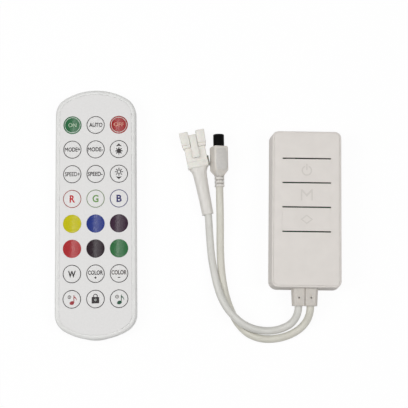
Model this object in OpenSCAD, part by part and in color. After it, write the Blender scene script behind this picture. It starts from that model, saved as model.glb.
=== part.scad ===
// A small controller box for light strips, on two short cords, and its flat remote lying beside it.
// Millimetres. The origin is the centre of the box's underside, +Z is up and the cords leave towards -Y.

/* [Controller case] */
// Length of the case at its base
case_l = 82.2; // [78:0.2:110]
// Width of the case at its base
case_w = 37.4; // [36:0.2:48]
// Height of the case over its face panel
case_h = 13.4; // [13:0.2:18]
// How far each wall leans in between the base and the face
case_draft = 0.95; // [0.4:0.05:1.3]
// Corner radius of the base, seen from above
case_corner_r = 4.2; // [3.6:0.1:6]
// Rounding between the walls and the face
case_edge_r = 0.8; // [0.4:0.1:1]
// Wall thickness of the cover
case_wall = 1.5; // [1.3:0.1:1.8]
// Thickness of the cover's face
case_roof = 1.5; // [1.3:0.1:1.8]
// Width of the ledge round the raised face panel
panel_margin = 0.95; // [0.6:0.05:2]
// Height of the face panel above its ledge
panel_rise = 0.3; // [0.2:0.05:0.5]
// Thickness of the bottom cover
floor_t = 1.6; // [1.2:0.1:2]
// Gap all round the bottom cover
floor_gap = 0.1; // [0.05:0.05:0.2]

/* [Controller keys] */
// Length of the slits that set the keys free
slit_l = 24.9; // [20:0.1:26]
// Width of a slit
slit_w = 0.7; // [0.5:0.1:1.2]
// Distance from key to key
key_pitch = 12.6; // [10:0.1:13.4]
// Distance from the plain end of the case to the first slit
key_room = 14.75; // [12:0.05:18]
// Thickness of a key
key_bar_t = 1.2; // [1:0.1:1.3]
// Running gap at each end of a key
key_end_gap = 0.08; // [0.05:0.01:0.1]
// Travel of a key
key_travel = 0.35; // [0.2:0.05:0.5]
// Diameter of the post below a key
key_post_d = 3; // [2:0.1:4]
// Depth of the marks cut into the keys
mark_depth = 0.15; // [0.1:0.05:0.3]
// Line width of those marks
mark_line = 0.7; // [0.4:0.1:1]
// Size of those marks
mark_size = 5.4; // [4:0.1:7]

/* [Circuit board] */
// Thickness of the circuit board
board_t = 1.6; // [1:0.1:2]
// Height of the board's underside over the table
board_z = 4.2; // [3.6:0.1:4.4]
// Gap between the board and the walls
board_gap = 0.6; // [0.4:0.1:1]
// Space left free at the cord end of the board
board_cord_room = 6.5; // [5.5:0.1:8]
// Diameter of the pillars that carry the board
pillar_d = 4.6; // [4:0.1:5]
// Diameter of the pins on the pillars
pin_d = 1.8; // [1.4:0.1:2]
// Clearance round those pins
pin_gap = 0.15; // [0.1:0.05:0.2]
// Width of a push switch
switch_w = 6.2; // [5:0.1:6.4]
// Height of a push switch's body
switch_h = 3.4; // [3:0.1:3.6]
// Diameter of a push switch's button
stem_d = 3.4; // [2.8:0.1:3.6]
// Running gap round that button
stem_gap = 0.06; // [0.04:0.01:0.1]
// Depth at which that button is held in its body
stem_hold = 1.6; // [1.2:0.1:2]

/* [Cord grip] */
// Width of the cord grip outside the case
grip_w = 13.6; // [12.6:0.1:15]
// Length of the cord grip outside the case
grip_l = 8.4; // [6:0.1:12]
// Height of the cord grip
grip_h = 7.4; // [6.4:0.1:8]
// Height of its middle over the table
grip_z = 6.2; // [5.4:0.1:6.6]
// Distance from the middle of the case to the middle of the grip
grip_shift = 0.4; // [0:0.1:1]
// How much narrower the grip is at its outer end
grip_taper = 0.7; // [0.2:0.1:1]
// Distance between the two cords
port_pitch = 6.1; // [5.6:0.1:6.8]
// Diameter of the two dimples in the grip
dimple_d = 0.9; // [0.6:0.1:1.2]
// Depth of those dimples
dimple_depth = 0.8; // [0.4:0.1:1.2]

/* [Cords] */
// Diameter of both cords
cord_d = 3.9; // [3.4:0.1:4.2]
// Diameter of the leads inside the case
lead_d = 1.2; // [0.8:0.1:1.4]
// Diameter of the shrink sleeve where it starts on the cord
sleeve_d = 6; // [5.2:0.1:6.4]
// Width of the shrink sleeve at the strip connector
sleeve_end_w = 10; // [7.6:0.1:10.6]

/* [Strip connector] */
// Width of the strip connector's body
plug_w = 10.9; // [9.8:0.1:12]
// Length of the strip connector's body
plug_l = 17.6; // [16:0.1:22]
// Height of the strip connector's body
plug_h = 5.9; // [5.4:0.1:7]
// Wall thickness of the strip connector
plug_wall = 0.9; // [0.7:0.1:1]
// Depth of the strip connector's mouth
plug_mouth = 12; // [9:0.1:13]
// Width over both ears at the front
ear_span = 13.4; // [13:0.1:15]
// Length of the ears
ear_l = 8.6; // [8:0.1:11]
// How far the ears reach past the mouth
ear_lead = 1.7; // [0.5:0.1:2.2]
// How far the ears close in towards their rear end, on each side
ear_taper = 0.45; // [0.2:0.05:0.8]
// Height of the ears over the body
ear_rise = 1.5; // [1.4:0.1:2]
// Width of the latch lever
lever_w = 3.6; // [3:0.1:4.2]
// Length of the latch lever
lever_l = 12.5; // [10:0.1:13]
// Thickness of the latch lever
lever_t = 0.8; // [0.6:0.05:0.9]
// Gap between the latch lever and the ears
lever_gap = 0.2; // [0.15:0.05:0.3]
// Height at which the latch lever stands over the body
lever_lift = 0.55; // [0.5:0.05:0.6]
// Diameter of a contact pin
contact_d = 0.9; // [0.6:0.05:1]
// Distance from contact pin to contact pin
contact_pitch = 2.5; // [2:0.1:2.8]

/* [Power connector] */
// Width of the square power connector body
jack_body_w = 7.7; // [6.8:0.1:9]
// Length of that body
jack_body_l = 15.7; // [12:0.1:18]
// Length of its tapered end
jack_neck_l = 3.1; // [2:0.1:4]
// Outer diameter of the black barrel
jack_d = 5.7; // [5.2:0.1:6.4]
// Length of the black barrel
jack_l = 6.3; // [5:0.1:9]
// Bore of the black barrel
jack_bore = 3.6; // [3.5:0.05:3.8]
// Diameter of the centre pin
jack_pin_d = 1.35; // [1.2:0.05:1.4]
// How far the centre pin stays behind the barrel's mouth
jack_pin_back = 0.9; // [0.5:0.1:1.5]
// Diameter over the ribs of the strain relief
relief_d = 5.1; // [4.9:0.1:6]
// Length of the ribbed strain relief
relief_l = 5.7; // [5:0.1:9]
// Number of ribs on it
relief_ribs = 3; // [2:1:4]
// Width of a rib's groove
relief_groove = 1; // [0.6:0.1:1.1]

/* [Remote case] */
// Length of the remote
remote_l = 130; // [126:0.5:150]
// Width of the remote
remote_w = 42; // [41:0.2:50]
// Height of the remote over its film
remote_h = 7.4; // [7.4:0.1:10]
// Radius of the rounded ends
remote_end_r = 31.5; // [26:0.5:34]
// Radius between the ends and the sides
remote_corner_r = 10; // [7:0.5:12]
// Rounding of the upper edge
remote_edge_r = 1.4; // [0.8:0.1:1.6]
// Rounding of the lower edge
remote_foot_r = 0.8; // [0.5:0.1:0.9]
// Wall thickness of the remote
remote_wall = 1.4; // [1.2:0.1:1.6]
// Thickness of the remote's floor
remote_floor = 0.9; // [0.8:0.05:1.1]
// Thickness of the remote's top wall
remote_roof = 1.3; // [1.1:0.1:1.5]
// Distance from the edge of the case to the film
film_margin = 2.4; // [2:0.1:3]
// Thickness of the film
film_t = 0.25; // [0.15:0.05:0.4]
// How far the film stands over the case
film_rise = 0.1; // [0.05:0.05:0.15]
// Distance from the controller to the remote, centre to centre
remote_x = 108.6; // [92:0.2:140]
// How far the remote lies towards the cord end
remote_y = 3.2; // [0:0.1:20]
// Angle at which the remote lies
remote_turn = 1.5; // [0:0.1:5]

/* [Remote keys] */
// Space left between two keys side by side
key_space = 2.65; // [2.2:0.05:4]
// Running gap round a key
button_gap = 0.08; // [0.05:0.01:0.1]
// Distance from the side of the remote to the middle of the outer columns
column_room = 8.9; // [8.7:0.05:10]
// Distance from the far end of the remote to the middle of the first row
first_row_room = 18.6; // [18:0.1:24]
// Distance from the battery end of the remote to the middle of the last row
last_row_room = 20.8; // [19:0.1:24]
// Thickness of a key at its rim
button_t = 0.9; // [0.7:0.1:1.2]
// Height of the crown of a key
button_crown = 0.3; // [0.1:0.05:0.4]
// Travel of a key
button_travel = 0.3; // [0.2:0.05:0.4]
// Diameter of the plunger below a key
plunger_d = 3; // [2:0.1:4]
// Diameter of a snap dome
dome_d = 6; // [5:0.1:7]
// Height of a snap dome
dome_h = 0.35; // [0.25:0.05:0.4]

/* [Remote battery] */
// Diameter of the coin cell
cell_d = 20; // [16:0.5:20.5]
// Thickness of the coin cell
cell_t = 2.5; // [1.6:0.1:2.6]
// Clearance round the coin cell and its tray
cell_gap = 0.1; // [0.05:0.05:0.2]
// Width of the battery tray
tray_w = 23.2; // [22.6:0.1:25]
// Thickness of the tray's floor
tray_floor = 0.4; // [0.3:0.05:0.5]
// Width of the tray's finger lip
lip_w = 12.2; // [8:0.1:16]
// How far the finger lip stands out
lip_l = 0.4; // [0.3:0.1:2]
// Thickness of the remote's circuit board
card_t = 0.8; // [0.6:0.1:0.9]
// Thickness of the battery contacts
contact_t = 0.2; // [0.15:0.05:0.3]

/* [Hidden] */

// How far a cut runs past the face that it opens
overrun = 1;
// Thickness of the slices that a rounded body is drawn between
sliver = 0.01;
// How deep a piece sinks into the one that it is moulded with
bite = 0.3;
// Clearance between pieces that are assembled and stay still
fit_gap = 0.05;
fine = 96;
soft = 48;

// The cords' routes, from the grip to the connectors
strip_route = [[-3.5, -49.5, 6.2], [-3.6, -51.5, 6.1], [-4.2, -54, 5.4], [-5.5, -56.6, 4.2],
               [-7.8, -59, 3], [-11.2, -60.8, 2.2], [-15, -61.9, 2.1], [-19, -62.3, 2.8],
               [-23, -62, 4], [-26.8, -61.2, 5.1], [-30.4, -59.7, 5.8], [-33.5, -57.8, 6.1],
               [-36.3, -55.3, 6.1], [-39, -52.3, 5.9], [-41.3, -49, 5.4], [-43.3, -45, 4.8],
               [-44.8, -40.8, 4.1], [-46, -36.4, 3.4], [-47, -31.8, 2.6], [-48, -26.6, 2.1],
               [-48.8, -20.6, 2], [-49.4, -14, 2.3], [-49.85, -8.7, 2.9], [-50.16, -4.2, 3.05],
               [-50.5, -2.6, 3.05]];
power_route = [[2.6, -49.5, 6.2], [2.5, -51.5, 6.1], [2, -54.2, 5.2], [1, -56.8, 3.9],
               [-0.8, -59.4, 2.7], [-3.4, -61.8, 2.1], [-7, -63.9, 2], [-11, -65.4, 2],
               [-15.4, -66.3, 2], [-20, -66.5, 2], [-24.6, -65.7, 2], [-28.8, -63.9, 2],
               [-32.4, -60.9, 2], [-35.5, -56.9, 2], [-38, -52, 2], [-40, -46.8, 2],
               [-41.5, -41.2, 2], [-42.6, -35.2, 2], [-43.3, -29.2, 2], [-43.7, -23.2, 2.1],
               [-43.9, -16.8, 2.5], [-44, -10, 3.2], [-44.15, -3, 4.05], [-44.4, 4.6, 4.7],
               [-44.57, 9.76, 4.8], [-44.63, 11.76, 4.8]];
cord_sides = 8;
sleeve_sides = 16;
corner_steps = 8;
end_steps = 14;
// Where the two connectors lie and how far they are turned
plug_at = [-55.7, 21.9];
plug_turn = 12.2;
jack_at = [-45.3, 33.15];
jack_turn = 1.8;
jack_roll = 22;

// Controller: heights and places that follow from the sizes above
shoulder_z = case_h - panel_rise;
roof_z = case_h - case_roof;
board_top = board_z + board_t;
hollow_w = case_w - 2 * (case_draft + case_wall);
hollow_l = case_l - 2 * (case_draft + case_wall);
board_w = hollow_w - 2 * board_gap;
board_l = hollow_l - board_gap - board_cord_room;
board_y = (board_cord_room - board_gap) / 2;
pillar_inset = pillar_d / 2 + board_gap / 2;
pillar_x = board_w / 2 - pillar_inset;
pillar_y = board_l / 2 - pillar_inset;
pin_l = board_t + pin_d;
switch_top = board_top + switch_h;
stem_top = switch_top + stem_gap + 2 * key_travel;
key_mid_y = case_l / 2 - key_room - (3 * key_pitch + slit_w) / 2;
key_ys = [key_mid_y + key_pitch, key_mid_y, key_mid_y - key_pitch];
switch_foot = mark_line;
// Middle of the board's free end beyond the switches, and the capacitor's place at its cord end
free_end_y = (key_ys[0] + switch_w / 2 + board_y + board_l / 2) / 2;
capacitor_d = 0.8 * switch_w;
capacitor_y = board_y - board_l / 2 + 2 * lead_d + board_gap + capacitor_d / 2;
regulator_y = (key_ys[2] - switch_w / 2 + capacitor_y) / 2;
grip_port_y = -case_l / 2 - grip_l;
grip_neck_w = grip_w - 2 * case_wall;
grip_neck_h = grip_h - 2 * case_wall;

// Remote: heights and places that follow from the sizes above
tray_z = remote_floor + cell_gap;
cell_z = tray_z + tray_floor;
card_z = cell_z + cell_t + fit_gap + contact_t;
card_top = card_z + card_t;
film_z = remote_h - film_t;
rim_z = remote_h - film_rise;
roof_under_z = rim_z - remote_roof;
split_z = card_z;
button_rows = 8;
button_columns = 3;
button_pitch_x = remote_w / 2 - column_room;
button_pitch_y = (remote_l - first_row_room - last_row_room) / (button_rows - 1);
button_d = min(button_pitch_x, button_pitch_y) - key_space;
hole_d = button_d + 2 * button_gap;
remote_arc_y = remote_l / 2 - remote_end_r;
corner_x = remote_w / 2 - remote_corner_r;
corner_y = remote_arc_y + sqrt(pow(remote_end_r - remote_corner_r, 2) - pow(corner_x, 2));
cell_y = -remote_l / 2 + cell_d / 2 + 2 * remote_edge_r + remote_wall;
tray_end_y = cell_y + cell_d / 2 + remote_wall;

function unit(v) = v / norm(v);
function lean(z) = case_draft * z / case_h;
function button_x(i) = (i % button_columns - (button_columns - 1) / 2) * button_pitch_x;
function button_y(i) = remote_l / 2 - first_row_room - floor(i / button_columns) * button_pitch_y;

// A tube through a list of points, whose section is an oval with its own half width and height
function heading(p, i) = unit(p[min(i + 1, len(p) - 1)] - p[max(i - 1, 0)]);
function aside(p, i) = unit(cross(heading(p, i), [0, 0, 1]));
function ring(p, i, a, b, sides) =
    let (s = aside(p, i), u = cross(s, heading(p, i)))
    [for (k = [0:sides - 1]) p[i] + s * a * cos(360 * k / sides) + u * b * sin(360 * k / sides)];

// Faces of a closed skin over a stack of rings with the same number of points
function skin(rings, sides) =
    let (last = (rings - 1) * sides)
    concat([for (i = [0:rings - 2], k = [0:sides - 1])
            let (n = (k + 1) % sides)
            each [[i * sides + k, i * sides + n, (i + 1) * sides + n],
                  [i * sides + k, (i + 1) * sides + n, (i + 1) * sides + k]]],
           [for (k = [1:sides - 2]) [0, k + 1, k]],
           [for (k = [1:sides - 2]) [last, last + k, last + k + 1]]);

module swept(p, a, b, sides) {
    polyhedron([for (i = [0:len(p) - 1]) each ring(p, i, a[i], b[i], sides)],
               skin(len(p), sides), convexity = 8);
}

module cord(route) {
    r = [for (p = route) cord_d / 2];
    swept(route, r, r, cord_sides);
}

module rounded_rect(w, l, r) {
    square([w - 2 * r, l], center = true);
    square([w, l - 2 * r], center = true);
    for (x = [-1, 1], y = [-1, 1])
        translate([x * (w / 2 - r), y * (l / 2 - r)]) circle(r = r, $fn = soft);
}

module block(w, l, z0, z1) {
    translate([-w / 2, -l / 2, z0]) cube([w, l, z1 - z0]);
}

// One level of the case, which leans in with height
module case_slice(inset, z) {
    in = inset + lean(z);
    translate([0, 0, z]) linear_extrude(sliver)
        rounded_rect(case_w - 2 * in, case_l - 2 * in, case_corner_r - in);
}

module case_body(grow = 0) {
    hull() {
        case_slice(-grow, 0);
        for (a = [0:30:90])
            case_slice(case_edge_r * (1 - cos(a)) - grow,
                       shoulder_z - case_edge_r * (1 - sin(a)) - sliver);
    }
}

module face_panel() {
    hull() {
        case_slice(panel_margin, shoulder_z - bite);
        case_slice(panel_margin, case_h - panel_rise / 2);
        case_slice(panel_margin + panel_rise / 2, case_h - sliver);
    }
}

module case_hollow() {
    hull() {
        case_slice(case_wall, -overrun);
        case_slice(case_wall, roof_z - sliver);
    }
}

module at_pillars() {
    for (x = [-1, 1], y = [-1, 1]) translate([x * pillar_x, board_y + y * pillar_y, 0]) children();
}

module top_cover() {
    window_l = 3 * key_pitch + slit_w;
    rebate = case_wall / 2;
    slot_w = grip_neck_w + 2 * fit_gap;
    color("gainsboro") difference() {
        union() {
            difference() {
                union() {
                    case_body();
                    face_panel();
                }
                case_hollow();
            }
            at_pillars() translate([0, 0, board_top + fit_gap])
                cylinder(d = pillar_d, h = roof_z + bite - board_top - fit_gap, $fn = soft);
        }
        translate([0, 0, -overrun]) linear_extrude(floor_t + overrun)
            rounded_rect(case_w - 2 * rebate, case_l - 2 * rebate, case_corner_r - rebate);
        translate([0, key_mid_y, 0]) block(slit_l, window_l, roof_z - overrun, case_h + overrun);
        translate([-grip_shift, -case_l / 2, 0])
            block(slot_w, 2 * case_wall + 2 * overrun, -overrun,
                  grip_z + grip_neck_h / 2 + fit_gap);
        at_pillars() translate([0, 0, board_top])
            cylinder(d = pin_d + 2 * pin_gap, h = pin_d + pin_gap, $fn = soft);
    }
}

module bottom_cover() {
    edge = case_wall / 2 + floor_gap;
    tongue_w = grip_neck_w - 2 * fit_gap;
    tongue_top = grip_z - grip_neck_h / 2 - fit_gap;
    tongue_from = -case_l / 2 + lean(tongue_top) + fit_gap;
    tongue_l = 2 * case_wall;
    tab_w = pillar_d;
    tab_x = hollow_w / 2 + case_draft / 2 - board_gap;
    color("whitesmoke") {
        linear_extrude(floor_t) rounded_rect(case_w - 2 * edge, case_l - 2 * edge,
                                             case_corner_r - edge);
        translate([-grip_shift, tongue_from + tongue_l / 2, 0])
            block(tongue_w, tongue_l, 0, tongue_top);
        at_pillars() translate([0, 0, floor_t - bite]) {
            cylinder(d = pillar_d, h = board_z - floor_t + bite, $fn = soft);
            cylinder(d = pin_d, h = board_z - floor_t + bite + pin_l, $fn = soft);
        }
        for (x = [-1, 1], y = [-1, 1])
            translate([x * tab_x, y * pillar_y / 2, 0])
                block(board_gap, tab_w, floor_t - bite, board_z - fit_gap);
    }
}

module circuit_board() {
    color("seagreen") difference() {
        translate([0, board_y, board_z]) linear_extrude(board_t)
            rounded_rect(board_w, board_l, pin_d / 2);
        at_pillars() translate([0, 0, board_z - overrun])
            cylinder(d = pin_d + 2 * pin_gap, h = board_t + 2 * overrun, $fn = soft);
    }
}

module switch_bodies() {
    foot = switch_foot;
    color("dimgray") for (y = key_ys) translate([0, y, 0]) {
        difference() {
            block(switch_w, switch_w, board_top, switch_top);
            translate([0, 0, switch_top - stem_hold - key_travel - stem_gap])
                cylinder(d = stem_d + 2 * stem_gap, h = stem_hold + key_travel + overrun,
                         $fn = soft);
        }
        for (x = [-1, 1], s = [-1, 1])
            translate([x * (switch_w + foot) / 2, s * switch_w / 4, 0])
                block(foot, foot, board_top, board_top + switch_h / 4);
    }
}

// The push switch's button, which moves with its key
module switch_stem(y) {
    foot = switch_top - stem_hold;
    color("black") translate([0, y, foot]) cylinder(d = stem_d, h = stem_top - foot, $fn = soft);
}
module power_switch_stem() { switch_stem(key_ys[0]); }
module mode_switch_stem() { switch_stem(key_ys[1]); }
module pattern_switch_stem() { switch_stem(key_ys[2]); }

// A key: a bar between two slits, flush with the face, with a post that reaches its switch
module key_bar(y) {
    bar_z = case_h - key_bar_t;
    translate([0, y, 0]) {
        difference() {
            block(slit_l - 2 * key_end_gap, key_pitch - slit_w, bar_z, case_h);
            translate([0, 0, case_h - mark_depth]) linear_extrude(mark_depth + overrun) children();
        }
        translate([0, 0, stem_top])
            cylinder(d = key_post_d, h = bar_z + bite - stem_top, $fn = soft);
    }
}

module power_mark() {
    r = mark_size / 2;
    gap_w = 3 * mark_line;
    difference() {
        circle(r = r, $fn = soft);
        circle(r = r - mark_line, $fn = soft);
        translate([-gap_w / 2, 0]) square([gap_w, r + overrun]);
    }
    translate([-mark_line / 2, 0]) square([mark_line, r + mark_line]);
}

module mode_mark() {
    w = mark_size * 1.12;
    h = mark_size * 1.07;
    t = mark_line;
    translate([-w / 2, -h / 2])
        polygon([[0, 0], [t, 0], [t, h - 2 * t], [w / 2, h / 3], [w - t, h - 2 * t], [w - t, 0],
                 [w, 0], [w, h], [w - t, h], [w / 2, h / 3 + 2 * t], [t, h], [0, h]]);
}

module pattern_mark() {
    w = mark_size * 0.6;
    h = mark_size * 0.45;
    k = (w - 1.4 * mark_line) / w;
    difference() {
        polygon([[-w, 0], [0, -h], [w, 0], [0, h]]);
        polygon([[-w, 0], [0, -h], [w, 0], [0, h]] * k);
    }
}

module power_key() { color("gainsboro") key_bar(key_ys[0]) power_mark(); }
module mode_key() { color("gainsboro") key_bar(key_ys[1]) mode_mark(); }
module pattern_key() { color("gainsboro") key_bar(key_ys[2]) pattern_mark(); }

// Parts on the circuit board, each placed by a share of the board's width and a distance along it
module on_board(x_share, y) {
    translate([x_share * board_w, y, board_top]) children();
}

module processor_chip() {
    chip = [switch_w, 1.6 * switch_w, switch_h / 2];
    lead = mark_line;
    pin_share = 0.11;
    color("black") on_board(0, free_end_y) {
        translate([-chip[0] / 2, -chip[1] / 2, 0]) cube(chip);
        for (s = [-1, 1], k = [-3:3])
            translate([s * (chip[0] + lead) / 2, k * chip[1] * pin_share, 0])
                block(lead, lead / 2, 0, chip[2] / 2);
    }
}

module voltage_regulator() {
    w = 0.75 * switch_w;
    color("black") on_board(0.24, regulator_y) {
        block(w, 0.6 * w, 0, switch_h / 2);
        for (k = [-1:1])
            translate([k * w / 3, -0.45 * w, 0]) block(w / 8, 0.3 * w, 0, mark_line / 2);
    }
}

module crystal_can() {
    r = 0.35 * switch_w;
    color("silver") on_board(-0.25, free_end_y - 0.3 * switch_w) for (y = [-1, 1]) {
        translate([0, y * r, 0]) cylinder(r = r, h = switch_h, $fn = soft);
        block(2 * r, 2 * r, 0, switch_h);
    }
}

module storage_capacitor() {
    d = capacitor_d;
    l = 2 * capacitor_d;
    color("slategray") on_board(0, capacitor_y) translate([-l / 2, 0, d / 2]) rotate([0, 90, 0]) {
        cylinder(d = d, h = l, $fn = soft);
        for (s = [-1, 1]) translate([d / 2 - mark_line / 2, s * d / 4, l - bite])
            cylinder(d = mark_line, h = 2 * mark_line, $fn = soft);
    }
}

module microphone_capsule() {
    d = 0.95 * switch_w;
    h = 0.8 * switch_h;
    color("silver") on_board(0.27, free_end_y - 0.45 * switch_w) difference() {
        cylinder(d = d, h = h, $fn = soft);
        translate([0, 0, h - mark_depth]) cylinder(d = 0.6 * d, h = overrun, $fn = soft);
    }
}

// The grip: two lobes side by side with a groove between, and a neck held by the case's end wall
module grip_lobe(side) {
    outer_r = 0.34 * grip_h;
    inner_r = 0.11 * grip_h;
    hull() for (end = [0, 1]) {
        w = (grip_w - end * grip_taper) / 2;
        h = grip_h - end * grip_taper;
        y = end == 0 ? -case_l / 2 + case_draft : grip_port_y + sliver;
        for (s = [-1, 1]) {
            translate([side * (w - outer_r), y, s * (h / 2 - outer_r)]) rotate([90, 0, 0])
                cylinder(r = outer_r, h = sliver, $fn = 32);
            translate([side * inner_r, y, s * (h / 2 - inner_r)]) rotate([90, 0, 0])
                cylinder(r = inner_r, h = sliver, $fn = 32);
        }
    }
}

module cord_grip() {
    flange_w = grip_w - 2 * fit_gap;
    flange_y = -hollow_l / 2 + fit_gap + case_wall / 2;
    neck_from = -case_l / 2 - bite;
    neck_l = flange_y - neck_from;
    color("gainsboro") translate([-grip_shift, 0, grip_z]) {
        difference() {
            union() for (s = [-1, 1]) grip_lobe(s);
            translate([grip_shift, 0, -grip_z]) case_body(fit_gap);
            for (s = [-1, 1])
                translate([s * port_pitch / 2, -case_l / 2 - grip_l / 2,
                           (grip_h - grip_taper / 2) / 2 - dimple_depth])
                    cylinder(d = dimple_d, h = dimple_depth + overrun, $fn = soft);
        }
        translate([0, neck_from + neck_l / 2, 0])
            block(grip_neck_w, neck_l, -grip_neck_h / 2, grip_neck_h / 2);
        translate([0, flange_y, 0])
            block(flange_w, case_wall, -grip_neck_h / 2, grip_neck_h / 2);
    }
}

// Five leads from the grip's inner face to the board, three of the strip cord and two of the other
module lead_wires() {
    from_y = -hollow_l / 2 + case_wall / 2 + fit_gap + case_wall / 2;
    to_y = board_y - board_l / 2 + 2 * lead_d;
    step_y = (to_y - from_y) / 3;
    rise = board_top + lead_d;
    r = [for (k = [0:4]) lead_d / 2];
    for (i = [-2:2]) {
        x = i * 1.5 * lead_d - grip_shift;
        route = [[x, from_y, grip_z], [x, from_y + step_y / 2, grip_z],
                 [x, from_y + step_y, rise], [x, from_y + 2 * step_y, rise],
                 [x, to_y, board_top + lead_d / 2]];
        color(["white", "limegreen", "red", "red", "black"][i + 2]) swept(route, r, r, cord_sides);
    }
}

module strip_cord() { color("gainsboro") cord(strip_route); }
module power_cord() { color("gainsboro") cord(power_route); }

// The sleeve lies straight, and flares to an oval over the back of the strip connector
module shrink_sleeve() {
    first = strip_route[len(strip_route) - 1];
    last = [plug_at[0], plug_at[1], plug_h / 2];
    run_share = [0, 0.28, 0.46, 0.64, 0.8, 0.9, 0.96, 1];
    width_share = [0, 0.06, 0.11, 0.2, 0.31, 0.45, 0.82, 1];
    route = [for (s = run_share) first + s * (last - first)];
    half_w = [for (s = width_share) (sleeve_d + s * (sleeve_end_w - sleeve_d)) / 2];
    half_h = [for (s = width_share) (sleeve_d - s * (sleeve_d - plug_h + 2 * fit_gap)) / 2];
    color("white") swept(route, half_w, half_h, sleeve_sides);
}

// Everything on the strip connector is drawn with its back at y = 0 and its mouth towards +Y
module at_plug() {
    translate([plug_at[0], plug_at[1], 0]) rotate([0, 0, plug_turn]) children();
}

module strip_connector() {
    inner_x = lever_w / 2 + lever_gap;
    front_y = plug_l + ear_lead;
    rear_y = front_y - ear_l;
    front_x = ear_span / 2;
    rear_x = front_x - ear_taper;
    ear_low = plug_h / 4;
    rib_w = plug_wall / 2;
    rib_l = plug_l * 0.3;
    color("whitesmoke") at_plug() difference() {
        union() {
            translate([0, plug_l / 2, 0]) block(plug_w, plug_l, 0, plug_h);
            for (s = [-1, 1]) translate([0, 0, ear_low]) linear_extrude(plug_h + ear_rise - ear_low)
                polygon([[s * inner_x, rear_y], [s * rear_x, rear_y],
                         [s * front_x, front_y], [s * inner_x, front_y]]);
            translate([plug_w / 2, rib_w + rib_l / 2, 0])
                block(2 * rib_w, rib_l, plug_wall, plug_h / 2);
        }
        translate([0, plug_l - plug_mouth / 2 + overrun, 0])
            block(plug_w - 2 * plug_wall, plug_mouth + 2 * overrun, plug_wall, plug_h - plug_wall);
    }
}

module contact_pins() {
    from_y = plug_l - plug_mouth;
    color("gold") at_plug() for (k = [-1:1])
        translate([k * contact_pitch, from_y, plug_h / 2]) rotate([-90, 0, 0])
            cylinder(d = contact_d, h = plug_mouth * 0.7, $fn = soft);
}

// The lever rocks on a round ridge that rests on the connector's body
module latch_lever() {
    ridge_y = plug_l - lever_l * 0.6;
    plate_z = plug_h + lever_lift;
    thumb = lever_t;
    color("whitesmoke") at_plug() {
        translate([0, plug_l - lever_l / 2, 0]) block(lever_w, lever_l, plate_z, plate_z + lever_t);
        translate([-lever_w / 2, ridge_y, plate_z]) rotate([0, 90, 0])
            cylinder(r = lever_lift - fit_gap, h = lever_w, $fn = soft);
        translate([0, plug_l - lever_l + thumb / 2, 0])
            block(lever_w, thumb, plate_z, plate_z + lever_t + mark_depth);
    }
}

// Everything on the power connector is drawn along +Y, with the barrel's root at y = 0
module at_jack() {
    translate([jack_at[0], jack_at[1], power_route[len(power_route) - 1][2]])
        rotate([0, jack_roll, jack_turn]) children();
}
module along_y() { rotate([-90, 0, 0]) children(); }

module jack_body() {
    half = jack_body_w / 2;
    corner = 0.12 * jack_body_w;
    straight = jack_body_l - jack_neck_l;
    pitch = relief_l / relief_ribs;
    core_d = cord_d + 2 * fit_gap;
    color("gainsboro") at_jack() difference() {
        union() {
            hull() {
                for (x = [-1, 1], z = [-1, 1]) {
                    translate([x * (half - corner), -corner, z * (half - corner)])
                        sphere(r = corner, $fn = 16);
                    translate([x * (half - corner), -straight, z * (half - corner)])
                        along_y() cylinder(r = corner, h = sliver, $fn = 16);
                }
                translate([0, -jack_body_l, 0]) along_y() cylinder(d = relief_d, h = sliver, $fn = 32);
            }
            translate([0, -jack_body_l - relief_l, 0]) along_y()
                cylinder(d = relief_d, h = relief_l + bite, $fn = soft);
        }
        for (k = [0:relief_ribs - 1], s = [0:3]) rotate([0, 90 * s, 0])
            translate([0, -jack_body_l - (k + 0.5) * pitch, 0])
                block(relief_d / 2, relief_groove, core_d / 2, relief_d);
        translate([0, -bite, 0]) along_y() cylinder(d = jack_d, h = overrun, $fn = soft);
    }
}

module jack_barrel() {
    color("black") at_jack() difference() {
        translate([0, -bite, 0]) along_y() cylinder(d = jack_d, h = jack_l + bite, $fn = soft);
        along_y() cylinder(d = jack_bore, h = jack_l + overrun, $fn = soft);
    }
}

module jack_centre_pin() {
    color("silver") at_jack() along_y()
        cylinder(d = jack_pin_d, h = jack_l - jack_pin_back, $fn = soft);
}

module jack_spring() {
    leaf_t = contact_t;
    leaf_l = 0.7 * jack_l;
    color("silver") at_jack() rotate([0, 180, 0])
        translate([0, leaf_l / 2, 0])
            block(2 * leaf_t, leaf_l, jack_bore / 2 - 1.2 * leaf_t, jack_bore / 2 - 0.2 * leaf_t);
}

// The remote is drawn about its own centre and then laid beside the controller
module at_remote() {
    translate([-remote_x, -remote_y, 0]) rotate([0, 0, remote_turn]) children();
}

// Plan of the remote: straight sides, broad round ends, and smaller arcs between them
module remote_plan(inset = 0) {
    reach = remote_end_r * 2;
    slope = (corner_y - remote_arc_y) / corner_x;
    square([remote_w - 2 * inset, 2 * corner_y], center = true);
    for (x = [-1, 1], y = [-1, 1])
        translate([x * corner_x, y * corner_y]) circle(r = remote_corner_r - inset, $fn = fine);
    for (y = [-1, 1]) intersection() {
        translate([0, y * remote_arc_y]) circle(r = remote_end_r - inset, $fn = 2 * fine);
        polygon([[0, y * remote_arc_y], [reach, y * (remote_arc_y + reach * slope)],
                 [-reach, y * (remote_arc_y + reach * slope)]]);
    }
}

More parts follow.
